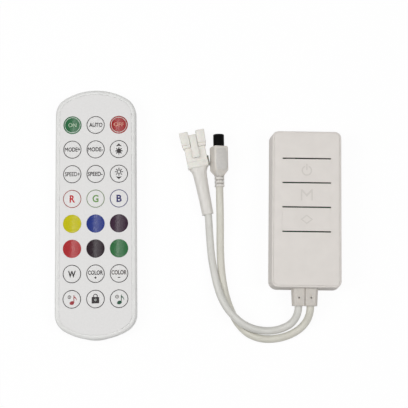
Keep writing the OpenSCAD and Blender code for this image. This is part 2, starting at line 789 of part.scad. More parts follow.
// The same plan as a ring of points, clockwise, for the rounded edges
function arc_points(x, y, r, from, to, steps) =
    [for (k = [0:steps]) let (a = from + (to - from) * k / steps) [x + r * cos(a), y + r * sin(a)]];
function remote_ring(inset) =
    let (a = atan2(corner_y - remote_arc_y, corner_x), c = remote_corner_r - inset,
         e = remote_end_r - inset, half = concat(
             arc_points(corner_x, -corner_y, c, 0, -a, corner_steps),
             [for (k = [1:end_steps - 1]) let (t = -a - (180 - 2 * a) * k / end_steps)
              [e * cos(t), -remote_arc_y + e * sin(t)]],
             arc_points(-corner_x, -corner_y, c, a - 180, -180, corner_steps)))
    concat(half, [for (p = half) -p]);

// A stack of such rings, given as pairs of height and inset
module remote_stack(levels) {
    sides = len(remote_ring(0));
    polyhedron([for (l = levels) each [for (p = remote_ring(l[1])) [p[0], p[1], l[0]]]],
               skin(len(levels), sides), convexity = 4);
}

module at_buttons() {
    for (i = [0:button_rows * button_columns - 1])
        translate([button_x(i), button_y(i), 0]) children();
}

module remote_top_case() {
    color("whitesmoke") at_remote() difference() {
        remote_stack(concat([[split_z, 0]],
            [for (a = [0:18:90]) [rim_z - remote_edge_r * (1 - sin(a)),
                                  remote_edge_r * (1 - cos(a))]]));
        translate([0, 0, split_z - overrun]) linear_extrude(roof_under_z - split_z + overrun)
            remote_plan(remote_wall);
        translate([0, 0, film_z]) linear_extrude(overrun) remote_plan(film_margin - fit_gap);
        at_buttons() translate([0, 0, roof_under_z - overrun])
            cylinder(d = hole_d, h = remote_roof + 2 * overrun, $fn = soft);
    }
}

module remote_bottom_case() {
    slot_w = tray_w + 2 * cell_gap;
    rail_t = remote_wall;
    post_ys = [corner_y, 0, -corner_y / 3];
    color("white") at_remote() {
        difference() {
            remote_stack(concat(
                [for (a = [0:22.5:90]) [remote_foot_r * (1 - cos(a)), remote_foot_r * (1 - sin(a))]],
                [[split_z, 0]]));
            translate([0, 0, remote_floor]) linear_extrude(split_z) remote_plan(remote_wall);
            translate([0, -remote_l / 2, 0])
                block(slot_w, remote_end_r, remote_floor, split_z + overrun);
        }
        for (x = [-1, 1]) translate([x * (slot_w + rail_t) / 2, cell_y, 0])
            block(rail_t, cell_d, remote_floor - bite, split_z);
        for (x = [-1, 1], y = post_ys) translate([x * corner_x, y, remote_floor - bite])
            cylinder(d = pillar_d, h = split_z - remote_floor + bite, $fn = soft);
    }
}

module face_film() {
    color("white") at_remote() difference() {
        translate([0, 0, film_z]) linear_extrude(film_t) remote_plan(film_margin);
        at_buttons() translate([0, 0, film_z - overrun])
            cylinder(d = hole_d, h = film_t + 2 * overrun, $fn = soft);
    }
}

module remote_card() {
    color("seagreen") at_remote() translate([0, 0, card_z]) linear_extrude(card_t)
        remote_plan(remote_wall + 2 * fit_gap);
}

module remote_chip() {
    color("black") at_remote() translate([0, corner_y / 2, card_z - remote_wall])
        cylinder(d1 = dome_d, d2 = 1.3 * dome_d, h = remote_wall, $fn = soft);
}

module snap_domes() {
    color("silver") at_remote() at_buttons() translate([0, 0, card_top])
        cylinder(d1 = dome_d, d2 = plunger_d, h = dome_h, $fn = soft);
}

// One strip lies on the cell and the other stands behind the tray
module battery_contacts() {
    strip_w = cell_d / 5;
    color("silver") at_remote() {
        translate([0, cell_y, 0]) block(strip_w, cell_d * 0.8, card_z - contact_t, card_z);
        translate([0, tray_end_y + 2 * contact_t, 0])
            block(2 * strip_w, contact_t, cell_z, card_z);
    }
}

module battery_tray() {
    tray_h = tray_floor + cell_t;
    pocket_d = cell_d + 2 * cell_gap;
    start_y = -remote_l / 2 - lip_l;
    color("white") at_remote() difference() {
        union() {
            translate([0, 0, tray_z]) linear_extrude(tray_h) intersection() {
                remote_plan();
                translate([-tray_w / 2, -remote_l / 2]) square([tray_w, tray_end_y + remote_l / 2]);
            }
            translate([0, (start_y + cell_y - cell_d / 2) / 2, 0])
                block(lip_w, cell_y - cell_d / 2 - start_y, tray_z, tray_z + tray_h / 2);
        }
        translate([0, cell_y, cell_z]) cylinder(d = pocket_d, h = cell_t + overrun, $fn = fine);
    }
}

module coin_cell() {
    step = contact_t;
    color("silver") at_remote() translate([0, cell_y, cell_z]) {
        cylinder(d = cell_d, h = cell_t - step, $fn = fine);
        cylinder(d = cell_d - 2 * cell_t, h = cell_t, $fn = fine);
    }
}

// A remote key: a disc with a low crown, and a plunger that stops just over its snap dome
module remote_key(i) {
    top_z = rim_z + film_rise;
    crown_r = (pow(button_d / 2, 2) + pow(button_crown, 2)) / (2 * button_crown);
    plunger_z = card_top + dome_h + button_travel + fit_gap;
    at_remote() translate([button_x(i), button_y(i), 0]) {
        translate([0, 0, top_z]) rotate_extrude($fn = fine) intersection() {
            translate([0, -button_t]) square([button_d / 2, button_t + button_crown]);
            translate([0, button_crown - crown_r]) circle(r = crown_r, $fn = 8 * fine);
        }
        translate([0, 0, plunger_z])
            cylinder(d = plunger_d, h = top_z - button_t / 2 - plunger_z, $fn = soft);
    }
}

// The 24 keys, row by row from the end far from the battery
module key_on() { color("seagreen") remote_key(0); }
module key_auto() { color("white") remote_key(1); }
module key_off() { color("indianred") remote_key(2); }
module key_mode_up() { color("white") remote_key(3); }
module key_mode_down() { color("white") remote_key(4); }
module key_brighter() { color("white") remote_key(5); }
module key_speed_up() { color("white") remote_key(6); }
module key_speed_down() { color("white") remote_key(7); }
module key_dimmer() { color("white") remote_key(8); }
module key_red() { color("white") remote_key(9); }
module key_green() { color("white") remote_key(10); }
module key_blue() { color("white") remote_key(11); }
module key_yellow() { color("gold") remote_key(12); }
module key_azure() { color("royalblue") remote_key(13); }
module key_violet() { color("rebeccapurple") remote_key(14); }
module key_crimson() { color("crimson") remote_key(15); }
module key_plum() { color("indigo") remote_key(16); }
module key_emerald() { color("seagreen") remote_key(17); }
module key_white() { color("white") remote_key(18); }
module key_colour_up() { color("white") remote_key(19); }
module key_colour_down() { color("white") remote_key(20); }
module key_sound_one() { color("white") remote_key(21); }
module key_lock() { color("white") remote_key(22); }
module key_sound_two() { color("white") remote_key(23); }

top_cover();
bottom_cover();
circuit_board();
switch_bodies();
processor_chip();
voltage_regulator();
crystal_can();
storage_capacitor();
microphone_capsule();
cord_grip();
lead_wires();
power_key();
mode_key();
pattern_key();
power_switch_stem();
mode_switch_stem();
pattern_switch_stem();
strip_cord();
shrink_sleeve();
strip_connector();
contact_pins();
latch_lever();
power_cord();
jack_body();
jack_barrel();
jack_centre_pin();
jack_spring();
remote_top_case();
remote_bottom_case();
face_film();
remote_card();
remote_chip();
snap_domes();
battery_contacts();
battery_tray();
coin_cell();
key_on();
key_auto();
key_off();
key_mode_up();
key_mode_down();
key_brighter();
key_speed_up();
key_speed_down();
key_dimmer();
key_red();
key_green();
key_blue();
key_yellow();
key_azure();
key_violet();
key_crimson();
key_plum();
key_emerald();
key_white();
key_colour_up();
key_colour_down();
key_sound_one();
key_lock();
key_sound_two();
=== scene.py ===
# A small controller box for light strips with three key bars, its two short cords and their
# connectors, and the flat remote of 24 round keys that lies beside it.
# The solid model's frame is used throughout. Sizes are written in millimetres and made metres
# when a mesh is built.
import math
import bpy
import bmesh
from mathutils import Matrix, Vector, noise


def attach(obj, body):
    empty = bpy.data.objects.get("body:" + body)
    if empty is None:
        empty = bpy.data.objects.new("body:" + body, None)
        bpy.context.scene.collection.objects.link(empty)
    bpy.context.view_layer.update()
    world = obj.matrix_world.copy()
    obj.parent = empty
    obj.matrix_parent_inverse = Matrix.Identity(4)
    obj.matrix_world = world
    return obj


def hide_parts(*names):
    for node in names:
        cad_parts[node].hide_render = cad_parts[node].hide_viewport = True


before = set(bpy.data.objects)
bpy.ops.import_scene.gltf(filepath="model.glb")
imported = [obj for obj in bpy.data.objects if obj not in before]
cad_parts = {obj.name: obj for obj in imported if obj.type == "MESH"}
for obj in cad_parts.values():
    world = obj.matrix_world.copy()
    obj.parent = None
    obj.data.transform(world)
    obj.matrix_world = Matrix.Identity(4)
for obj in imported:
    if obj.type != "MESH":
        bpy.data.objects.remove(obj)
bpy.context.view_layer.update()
MM = 0.001


def linked(name, data):
    """A new object that holds the data, in the scene."""
    obj = bpy.data.objects.new(name, data)
    bpy.context.scene.collection.objects.link(obj)
    return obj


# Camera
# Almost straight down, tilted a little towards the cord end, and level with the box's slight turn
CAMERA_AT = Vector((-51.73, -60.7, 521.09))
CAMERA_TARGET = Vector((-52.62, 3.28, 0))
PICTURE_UP = Vector((-0.01396, 0.9999, 0))
# Half the picture's width for each unit of distance
HALF_VIEW = 0.204


def place_camera():
    data = bpy.data.cameras.new("camera")
    data.sensor_fit = "HORIZONTAL"
    data.angle = 2 * math.atan(HALF_VIEW)
    data.clip_start = 0.01
    camera = linked("camera", data)
    ahead = (CAMERA_TARGET - CAMERA_AT).normalized()
    right = ahead.cross(PICTURE_UP).normalized()
    up = right.cross(ahead)
    place = Matrix((right, up, -ahead)).transposed().to_4x4()
    place.translation = CAMERA_AT * MM
    camera.matrix_world = place
    bpy.context.scene.camera = camera


place_camera()


# How far the parts of one piece reach into each other, and a cutting tool past what it cuts
JOIN, OVER = 0.3, 1
# Angle past which an edge is rounded
SHARP_EDGE = math.radians(30)


# Meshes. A shell is a list of points and a list of faces
def loft(rings, looped=False):
    """Faces between successive rings of as many points; looped joins the last ring to the first."""
    sides = len(rings[0])
    points = [p for ring in rings for p in ring]
    faces = []
    for i in range(len(rings) if looped else len(rings) - 1):
        low, high = i * sides, (i + 1) % len(rings) * sides
        for k in range(sides):
            n = (k + 1) % sides
            faces.append((low + k, low + n, high + n, high + k))
    if not looped:
        faces.append(tuple(range(sides)))
        faces.append(tuple(range(len(points) - sides, len(points))))
    return points, faces


def prism(outline, z0, z1):
    return loft([[(x, y, z0) for x, y in outline], [(x, y, z1) for x, y in outline]])


def rectangle(x0, x1, y0, y1):
    return [(x0, y0), (x1, y0), (x1, y1), (x0, y1)]


def box(x0, x1, y0, y1, z0, z1):
    return prism(rectangle(x0, x1, y0, y1), z0, z1)


def arc(x, y, r, start, end, steps):
    turns = [math.radians(start + (end - start) * k / steps) for k in range(steps + 1)]
    return [(x + r * math.cos(t), y + r * math.sin(t)) for t in turns]


def rounded(w, l, r, steps=8, x=0, y=0):
    corners = ((1, 1, 0), (-1, 1, 90), (-1, -1, 180), (1, -1, 270))
    return [p for sx, sy, a in corners
            for p in arc(x + sx * (w / 2 - r), y + sy * (l / 2 - r), r, a, a + 90, steps)]


def turned(profile, steps=48, x=0, y=0, looped=False):
    """A solid of revolution about a vertical line, from pairs of radius and height."""
    rings = [[(x + px, y + py, z) for px, py in arc(0, 0, r, 0, 360 - 360 / steps, steps - 1)]
             for r, z in profile]
    return loft(rings, looped)


def along_y(profile, steps=48, looped=False):
    """A solid of revolution about a line that runs forward, from pairs of radius and distance."""
    return moved(turned(profile, steps, looped=looped), about("X", -90))


def quarter(r, steps):
    """Points round a rounded edge, as how far in and how far down each one lies."""
    turns = [math.radians(90 * k / steps) for k in range(steps + 1)]
    return [(r * (1 - math.cos(t)), r * (1 - math.sin(t))) for t in turns]


def about(axis, degrees):
    return Matrix.Rotation(math.radians(degrees), 4, axis)


def moved(shell, matrix):
    return [tuple(matrix @ Vector(p)) for p in shell[0]], shell[1]


def as_bmesh(shell):
    bm = bmesh.new()
    corners = [bm.verts.new(p) for p in shell[0]]
    for face in shell[1]:
        bm.faces.new([corners[i] for i in face])
    bmesh.ops.remove_doubles(bm, verts=bm.verts, dist=1e-5)
    bmesh.ops.dissolve_degenerate(bm, edges=bm.edges, dist=1e-6)
    bmesh.ops.recalc_face_normals(bm, faces=bm.faces)
    return bm


def as_shell(bm):
    bm.verts.index_update()
    shell = [tuple(v.co) for v in bm.verts], [tuple(v.index for v in f.verts) for f in bm.faces]
    bm.free()
    return shell


def softened(shell, width, steps=3):
    """The same closed shell with its sharp edges rounded."""
    bm = as_bmesh(shell)
    edges = [e for e in bm.edges if len(e.link_faces) == 2 and e.calc_face_angle() > SHARP_EDGE]
    bmesh.ops.bevel(bm, geom=edges, offset=width, segments=steps, profile=0.5, affect="EDGES",
                    clamp_overlap=True)
    return as_shell(bm)


def block(x0, x1, y0, y1, z0, z1, edge, steps=3):
    """A box with rounded edges."""
    return softened(box(x0, x1, y0, y1, z0, z1), edge, steps)


def loose_object(name, shell):
    mesh = bpy.data.meshes.new(name)
    bm = as_bmesh(shell)
    bm.to_mesh(mesh)
    bm.free()
    return linked(name, mesh)


def cut(shell, tools):
    """The shell with the tool shells taken out of it, as one boolean."""
    points, faces = [], []
    for tool in tools:
        faces += [tuple(i + len(points) for i in f) for f in tool[1]]
        points += tool[0]
    body = loose_object("cut_body", shell)
    cutter = loose_object("cut_tool", (points, faces))
    step = body.modifiers.new("cut", "BOOLEAN")
    step.operation = "DIFFERENCE"
    step.solver = "EXACT"
    step.object = cutter
    made = body.evaluated_get(bpy.context.evaluated_depsgraph_get()).to_mesh()
    result = ([tuple(v.co) for v in made.vertices], [tuple(p.vertices) for p in made.polygons])
    for obj in (body, cutter):
        mesh = obj.data
        bpy.data.objects.remove(obj)
        bpy.data.meshes.remove(mesh)
    return result


def piece(name, shells, body, paints, place=Matrix(), stands_for=(), sharp=38, flat=False):
    """One visible piece, riding on a body. A shell is points and faces, with the number of its
    paint, or one number per face, where it isn't the first."""
    paints = paints if isinstance(paints, list) else [paints]
    bm = bmesh.new()
    for shell in shells:
        corners = [bm.verts.new(place @ Vector(p) * MM) for p in shell[0]]
        for k, face in enumerate(shell[1]):
            made = bm.faces.new([corners[i] for i in face])
            if len(shell) > 2:
                made.material_index = shell[2] if isinstance(shell[2], int) else shell[2][k]
            made.smooth = not flat
    if not flat:
        bmesh.ops.recalc_face_normals(bm, faces=bm.faces)
    mesh = bpy.data.meshes.new(name)
    bm.to_mesh(mesh)
    bm.free()
    for paint in paints:
        mesh.materials.append(paint)
    if not flat:
        mesh.set_sharp_from_angle(angle=math.radians(sharp))
    obj = linked(name, mesh)
    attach(obj, body)
    if stands_for:
        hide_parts(*stands_for)
    return obj


# Tubes along a route
def smooth_route(points, steps):
    """A curve through every point, with a number of steps between each two, that never swings
    out past the outermost points."""
    low = [min(axis) for axis in zip(*points)]
    high = [max(axis) for axis in zip(*points)]
    p = [Vector(q) for q in points]
    p = [2 * p[0] - p[1]] + p + [2 * p[-1] - p[-2]]
    line = []
    for i in range(1, len(p) - 2):
        for k in range(steps):
            t = k / steps
            line.append(0.5 * (2 * p[i] + (p[i + 1] - p[i - 1]) * t
                               + (2 * p[i - 1] - 5 * p[i] + 4 * p[i + 1] - p[i + 2]) * t ** 2
                               + (3 * p[i] - p[i - 1] - 3 * p[i + 1] + p[i + 2]) * t ** 3))
    held = [[min(max(v, a), b) for v, a, b in zip(q, low, high)] for q in line]
    return [Vector(q) for q in held] + [p[-2]]


def tube_ring(line, i, wide, high, sides, ripple=None):
    """A ring of points about one point of a route, which a ripple can swell."""
    ahead = (line[min(i + 1, len(line) - 1)] - line[max(i - 1, 0)]).normalized()
    side = ahead.cross(Vector((0, 0, 1))).normalized()
    up = side.cross(ahead)
    ring = []
    for k in range(sides):
        t = 2 * math.pi * k / sides
        grow = 1 + (ripple(i, k) if ripple else 0)
        ring.append(line[i] + side * (wide * grow * math.cos(t)) + up * (high * grow * math.sin(t)))
    return ring


def cord_piece(node, route, paint):
    """A round jacket along the route, with a map whose first axis runs along it in metres."""
    steps, sides, r = 5, 28, CORD_D / 2
    name = f"{node}_jacket"
    line = smooth_route(route, steps)
    rings = [tube_ring(line, i, r, r, sides) for i in range(len(line))]
    obj = piece(name, [loft(rings)], "controller", paint, stands_for=(node,), sharp=60)
    mesh = obj.data
    uv = mesh.uv_layers.new(name="along_cord")
    run = [0.0]
    for a, b in zip(line, line[1:]):
        run.append(run[-1] + (b - a).length * MM)
    for face in mesh.polygons:
        ks = [v % sides for v in face.vertices]
        wraps = max(ks) - min(ks) > sides / 2
        for corner, v in zip(face.loop_indices, face.vertices):
            k = v % sides
            turn = k + sides if wraps and k == 0 else k
            uv.data[corner].uv = (run[v // sides], turn / sides * math.pi * CORD_D * MM)
    return obj, line


# Materials
def tone(code):
    """A colour written as six sRGB hex digits, as the linear numbers that a shader takes."""
    parts = [int(code[i:i + 2], 16) / 255 for i in (0, 2, 4)]
    return tuple(c / 12.92 if c <= 0.04045 else ((c + 0.055) / 1.055) ** 2.4 for c in parts) + (1,)


def add(tree, kind, inputs=None, **settings):
    """Adds a node; an input is given by name or number, as a value or as the socket to link."""
    node = tree.nodes.new(kind)
    for key, value in settings.items():
        setattr(node, key, value)
    for key, value in (inputs or {}).items():
        if isinstance(value, bpy.types.NodeSocket):
            tree.links.new(value, node.inputs[key])
        else:
            node.inputs[key].default_value = value
    return node


def flow(tree, kind, inputs=None, **settings):
    """Adds a node and gives its first output."""
    return add(tree, kind, inputs, **settings).outputs[0]


def new_material(name):
    material = bpy.data.materials.new(name)
    material.use_nodes = True
    tree = material.node_tree
    tree.nodes.clear()
    shader = add(tree, "ShaderNodeBsdfPrincipled")
    add(tree, "ShaderNodeOutputMaterial", {"Surface": shader.outputs[0]})
    return material, tree, shader


def link_finish(tree, shader, colour, height, depth):
    """Gives the shader its colour and a relief that is as deep as given, in mm."""
    tree.links.new(colour, shader.inputs["Base Color"])
    bump = flow(tree, "ShaderNodeBump", {"Height": height, "Distance": depth * MM, "Strength": 1.0})
    tree.links.new(bump, shader.inputs["Normal"])


def surface(name, light, dark, mottle, grain, depth, rough, spread=0.06, where="Object",
            stretch=(1, 1, 1), detail=3.0, **sockets):
    """A plain finish: two near tones in soft patches, a fine grain in relief, and uneven gloss.

    mottle and grain are the sizes of a patch and of a grain, and depth the grain's height, in mm."""
    material, tree, shader = new_material(name)
    coords = add(tree, "ShaderNodeTexCoord").outputs[where]
    coords = flow(tree, "ShaderNodeMapping", {"Vector": coords, "Scale": stretch})
    patches = flow(tree, "ShaderNodeTexNoise", {"Vector": coords, "Scale": 1 / (mottle * MM),
                                                "Detail": detail, "Roughness": 0.55})
    grains = flow(tree, "ShaderNodeTexNoise", {"Vector": coords, "Scale": 1 / (grain * MM),
                                               "Detail": 2.0, "Roughness": 0.5})
    share = flow(tree, "ShaderNodeMapRange", {0: patches, 1: 0.3, 2: 0.7})
    mix = add(tree, "ShaderNodeMix", {0: share, 6: tone(light), 7: tone(dark)}, data_type="RGBA")
    link_finish(tree, shader, mix.outputs[2], grains, depth)
    gloss = flow(tree, "ShaderNodeMapRange", {0: grains, 1: 0.2, 2: 0.8, 3: rough - spread,
                                              4: rough + spread})
    tree.links.new(gloss, shader.inputs["Roughness"])
    for key, value in sockets.items():
        shader.inputs[key.replace("_", " ")].default_value = value
    return material


# Box: ABS, injection moulded in a finely spark-eroded mould: off-white, satin, the faintest grain
COVER_ABS = surface("moulded_off_white_abs", "E2DDD8", "DED9D4", 7, 0.35, 0.004, 0.6, IOR=1.53,
                    Specular_IOR_Level=0.12)
# The sunk marks on the bars: the same plastic, a little rougher, and painted darker as painted shade
# in their shallow recesses
MARK_SHADED_ABS = surface("painted_shade_mark_abs", "D7D2CD", "D1CDC7", 0.8, 0.25, 0.012, 0.65,
                   IOR=1.53, Specular_IOR_Level=0.12)
# Cord grip, and the paler socket body: soft PVC moulded over the cords, milky, with blotches
MILKY = {"Subsurface_Weight": 0.4, "Subsurface_Scale": 0.002, "Subsurface_Radius": (1, 0.9, 0.8)}
SOFT_PVC = surface("overmoulded_soft_pvc", "CBC6BF", "C3BEB7", 1.3, 0.5, 0.012, 0.45, IOR=1.54,
                   **MILKY)
PALE_PVC = surface("overmoulded_pale_pvc", "DCD7D0", "D5D0C9", 1.3, 0.5, 0.012, 0.4, IOR=1.54,
                   **MILKY)
# The socket's finger pads: the same PVC from a ground part of the mould, so duller and greyer
PAD_PVC = surface("overmoulded_dull_pvc", "D8D3CC", "D0CBC5", 1.3, 0.4, 0.012, 0.55, IOR=1.54,
                  **MILKY)
# The grooves of its strain relief: the same PVC painted darker, as painted shade between the ribs
SHADED_GROOVE_PVC = surface("painted_shade_groove_pvc", "B7B2AB", "A6A19A", 0.7, 0.4, 0.012, 0.6, IOR=1.54)
# Cords: PVC extruded over the leads, with fine streaks along the cord from the die
STRIP_PVC = surface("extruded_pale_grey_pvc", "D7D6D1", "CCCBC5", 2.2, 0.5, 0.012, 0.42,
                    where="UV", stretch=(0.25, 1, 1), IOR=1.54)
POWER_PVC = surface("extruded_warm_white_pvc", "D5D3C8", "CBC8BD", 2.4, 0.5, 0.012, 0.42,
                    where="UV", stretch=(0.25, 1, 1), IOR=1.54)
# Sleeve: polyolefin tube shrunk with heat: soft gloss, with faint streaks along it
SHRUNK_TUBE = surface("heat_shrunk_polyolefin", "DEDBD6", "D4D1CB", 0.9, 0.5, 0.03, 0.4,
                      stretch=(1, 0.14, 1), IOR=1.5)
# Strip connector: natural nylon, moulded, a little yellow and blotchy
NATURAL_NYLON = surface("moulded_natural_nylon", "E5E2DB", "DEDBD3", 1.8, 0.5, 0.012, 0.36,
                        IOR=1.53, Subsurface_Weight=0.06, Subsurface_Scale=0.001)
# Socket barrel: black nylon, moulded, with a dull shine
BLACK_NYLON = surface("moulded_black_nylon", "030303", "010101", 1.2, 0.3, 0.006, 0.5,
                      Specular_IOR_Level=0.05)
# Remote's shell: white ABS with a light polish
SHELL_ABS = surface("moulded_white_abs", "DEDEDC", "D9D9D7", 7, 0.3, 0.002, 0.34, IOR=1.53)
# Remote's face: polyester film, printed behind, with a velvet grain that scatters the light
FACE_FILM = surface("grained_polyester_film", "E1E0DF", "DDDCDB", 0.9, 0.35, 0.004, 0.5)
# Inside the box: soldered and stamped parts
SWITCH_NYLON = surface("moulded_switch_nylon", "2A2A2B", "1C1C1D", 1.5, 0.25, 0.006, 0.5)
CHIP_EPOXY = surface("transfer_moulded_epoxy", "232326", "18181A", 1.0, 0.2, 0.008, 0.6)
CAN_SLEEVE = surface("shrunk_can_sleeve", "2C3440", "222834", 1.5, 0.4, 0.004, 0.3)
PLATED_STEEL = surface("nickel_plated_steel", "C9C9C6", "B5B5B2", 1.5, 0.3, 0.003, 0.3,
                       Metallic=1.0)
TINNED_BRASS = surface("tinned_brass", "CFC9B8", "B5AE98", 0.8, 0.2, 0.002, 0.28, Metallic=1.0)
SPRING_STEEL = surface("stamped_spring_steel", "C4C4C4", "AFAFAF", 1.2, 0.25, 0.002, 0.26,
                       Metallic=1.0)
CELL_STEEL = surface("drawn_stainless_steel", "D0D0CE", "BEBEBC", 3, 0.4, 0.002, 0.25,
                     stretch=(1, 0.1, 1), Metallic=1.0)


def key_film(name, light, dark, gloss=0.27):
    """The face film over a coloured print: the colour shows through a thin, finely pitted gloss."""
    return surface(f"film_printed_{name}", light, dark, 0.6, 0.6, 0.022, 0.15, spread=0.05,
                   detail=2.0, Specular_IOR_Level=gloss)


KEY_PAINTS = {
    "white": FACE_FILM,
    "green": key_film("green", "1C693C", "155A31"),
    "red": key_film("red", "A0191B", "911215"),
    "yellow": key_film("yellow", "C8C103", "BCB501", 0.16),
    "blue": key_film("blue", "132E84", "0F2776", 0.25),
    "purple": key_film("dark_violet", "341430", "280C24", 0.225),
    "dark_plum": key_film("plum_black", "26101F", "190812", 0.21),
    "emerald": key_film("leaf_green", "216B37", "185D2C"),
    "crimson": key_film("crimson", "AF2228", "A01A21"),
}


def ink(name, light, dark):
    """Screen ink: thin, matt and very slightly uneven in density."""
    return surface(f"screen_ink_{name}", light, dark, 0.8, 0.4, 0.001, 0.5,
                   Specular_IOR_Level=0.2)


INKS = {
    "grey": ink("dark_grey", "2E2A2B", "3A3637"), "soft": ink("mid_grey", "5C5755", "686361"),
    "red": ink("red", "C63238", "B63636"), "rust": ink("rust", "9E3C31", "8C3C32"),
    "leaf": ink("leaf", "62913F", "6E9558"), "moss": ink("moss", "71895F", "7D8A6E"),
    "violet": ink("violet", "2B2C64", "383868"), "forest": ink("forest", "224936", "305542"),
    "brick": ink("brick", "94343A", "A44246"), "pale": ink("pale_green", "B9CDB4", "ADC1A8"),
    "salmon": ink("salmon", "E2AC96", "D6A08A"), "white": ink("white", "DCE2DC", "D0D8D0"),
}


def board_laminate():
    """Glass-fibre board under green solder mask, with copper tracks that show a little lighter."""
    track, thread, depth = 8, 0.4, 0.01
    material, tree, shader = new_material("masked_glass_fibre_board")
    coords = add(tree, "ShaderNodeTexCoord").outputs["Object"]
    tracks = flow(tree, "ShaderNodeTexBrick", {"Vector": coords, "Scale": 1 / (track * MM),
                                               "Color1": tone("1E5B3A"), "Color2": tone("1A5435"),
                                               "Mortar": tone("2F7A50"), "Mortar Size": 0.05})
    weave = flow(tree, "ShaderNodeTexNoise", {"Vector": coords, "Scale": 1 / (thread * MM)})
    link_finish(tree, shader, tracks, weave, depth)
    shader.inputs["Roughness"].default_value = 0.3
    return material


def lead_insulation():
    """Five thin PVC leads side by side, each extruded in its own colour."""
    left, right, streak, depth = -4.9, 4.1, 0.5, 0.01
    colours = ("D9D8D2", "3C8A4A", "B23A34", "AC3630", "222222")
    material, tree, shader = new_material("extruded_lead_insulation")
    coords = add(tree, "ShaderNodeTexCoord").outputs["Object"]
    across = flow(tree, "ShaderNodeSeparateXYZ", {0: coords})
    share = flow(tree, "ShaderNodeMapRange", {0: across, 1: left * MM, 2: right * MM})
    bands = add(tree, "ShaderNodeValToRGB", {0: share})
    ramp = bands.color_ramp
    ramp.interpolation = "CONSTANT"
    ramp.elements[0].color = tone(colours[0])
    ramp.elements[1].position = 0.2
    ramp.elements[1].color = tone(colours[1])
    for k in (2, 3, 4):
        ramp.elements.new(k * 0.2).color = tone(colours[k])
    streaks = flow(tree, "ShaderNodeTexNoise", {"Vector": coords, "Scale": 1 / (streak * MM)})
    link_finish(tree, shader, bands.outputs[0], streaks, depth)
    shader.inputs["Roughness"].default_value = 0.4
    return material


BOARD = board_laminate()
LEADS = lead_insulation()

# Cords
STRIP_ROUTE = [
    (-3.5, -49.5, 6.2), (-3.6, -51.5, 6.1), (-4.2, -54, 5.4), (-5.5, -56.6, 4.2), (-7.8, -59, 3),
    (-11.2, -60.8, 2.2), (-15, -61.9, 2.1), (-19, -62.3, 2.8), (-23, -62, 4), (-26.8, -61.2, 5.1),
    (-30.4, -59.7, 5.8), (-33.5, -57.8, 6.1), (-36.3, -55.3, 6.1), (-39, -52.3, 5.9),
    (-41.3, -49, 5.4), (-43.3, -45, 4.8), (-44.8, -40.8, 4.1), (-46, -36.4, 3.4),
    (-47, -31.8, 2.6), (-48, -26.6, 2.1), (-48.8, -20.6, 2), (-49.4, -14, 2.3),
    (-49.85, -8.7, 2.9), (-50.16, -4.2, 3.05), (-50.5, -2.6, 3.05)]
POWER_ROUTE = [
    (2.6, -49.5, 6.2), (2.5, -51.5, 6.1), (2, -54.2, 5.2), (1, -56.8, 3.9), (-0.8, -59.4, 2.7),
    (-3.4, -61.8, 2.1), (-7, -63.9, 2), (-11, -65.4, 2), (-15.4, -66.3, 2), (-20, -66.5, 2),
    (-24.6, -65.7, 2), (-28.8, -63.9, 2), (-32.4, -60.9, 2), (-35.5, -56.9, 2), (-38, -52, 2),
    (-40, -46.8, 2), (-41.5, -41.2, 2), (-42.6, -35.2, 2), (-43.3, -29.2, 2), (-43.7, -23.2, 2.1),
    (-43.9, -16.8, 2.5), (-44, -10, 3.2), (-44.15, -3, 4.05), (-44.4, 4.6, 4.7),
    (-44.57, 9.76, 4.8), (-44.63, 11.76, 4.8)]
CORD_D = 3.9
strip_cord, strip_line = cord_piece("strip_cord", STRIP_ROUTE, STRIP_PVC)
power_cord, power_line = cord_piece("power_cord", POWER_ROUTE, POWER_PVC)

# Box
CASE_W, CASE_L, CASE_H = 37.4, 82.2, 13.4
CASE_DRAFT, CASE_CORNER, CASE_EDGE, CASE_WALL = 0.95, 4.2, 0.8, 1.5
SHOULDER, ROOF_UNDER, FLOOR_T = 13.1, 11.9, 1.6
PANEL_IN, PANEL_EDGE, PANEL_GROOVE = 0.95, 0.25, 0.2
KEY_PITCH, SLIT_W, SLIT_L, SLIT_CORNER = 12.6, 0.7, 24.9, 0.05
KEY_YS = (19.7, 7.1, -5.5)
BAR_T, BAR_SLACK, BAR_EDGE = 1.2, 0.01, 0.12
STEM_TOP, POST_D, POST_EDGE = 9.96, 3, 0.2
BOARD_TOP, PILLAR_D, PIN_D, PIN_SLACK = 5.8, 4.6, 1.8, 0.15
PILLAR_X, PILLAR_YS = 13.05, (-29.55, 35.45)
# Marks: how deep they are sunk, their line, the ring and stroke, the letter and the diamond
MARK_DEPTH, MARK_LINE = 0.15, 0.7
POWER_R, POWER_GAP, POWER_STROKE = 2.7, 22, (0.2, 3.4)
LETTER_W, LETTER_H = 6.05, 5.78
DIAMOND_W, DIAMOND_H, DIAMOND_LINE = 6.48, 4.86, 0.98
# Cord grip: its lobes, their dimples, the neck in the end wall and the flange inside
GRIP_X, GRIP_Z, GRIP_W, GRIP_L, GRIP_H = -0.4, 6.2, 13.6, 8.4, 7.4
GRIP_OUTER_R, GRIP_INNER_R, GRIP_TAPER, GRIP_EDGE, GRIP_PART = 2.5, 0.85, 0.7, 0.4, 0.03
DIMPLE_X, DIMPLE_Y, DIMPLE_R, DIMPLE_Z = 3.05, -45.3, 0.45, 1.6
NECK_W, NECK_H, NECK_YS, NECK_NOTCH = 10.6, 4.4, (-41.4, -37.85), 2.5
FLANGE_W, FLANGE_YS = 13.5, (-38.6, -37.1)
# Clearance between pieces of the box that touch
FIT = 0.05


def lean(z):
    return CASE_DRAFT * z / CASE_H


def case_ring(inset, z):
    grow = inset + lean(z)
    outline = rounded(CASE_W - 2 * grow, CASE_L - 2 * grow, CASE_CORNER - grow, 12)
    return [(x, y, z) for x, y in outline]


def window_ring(z):
    outline = rounded(SLIT_L, 3 * KEY_PITCH + SLIT_W, SLIT_CORNER, 12, y=KEY_YS[1])
    return [(x, y, z) for x, y in outline]


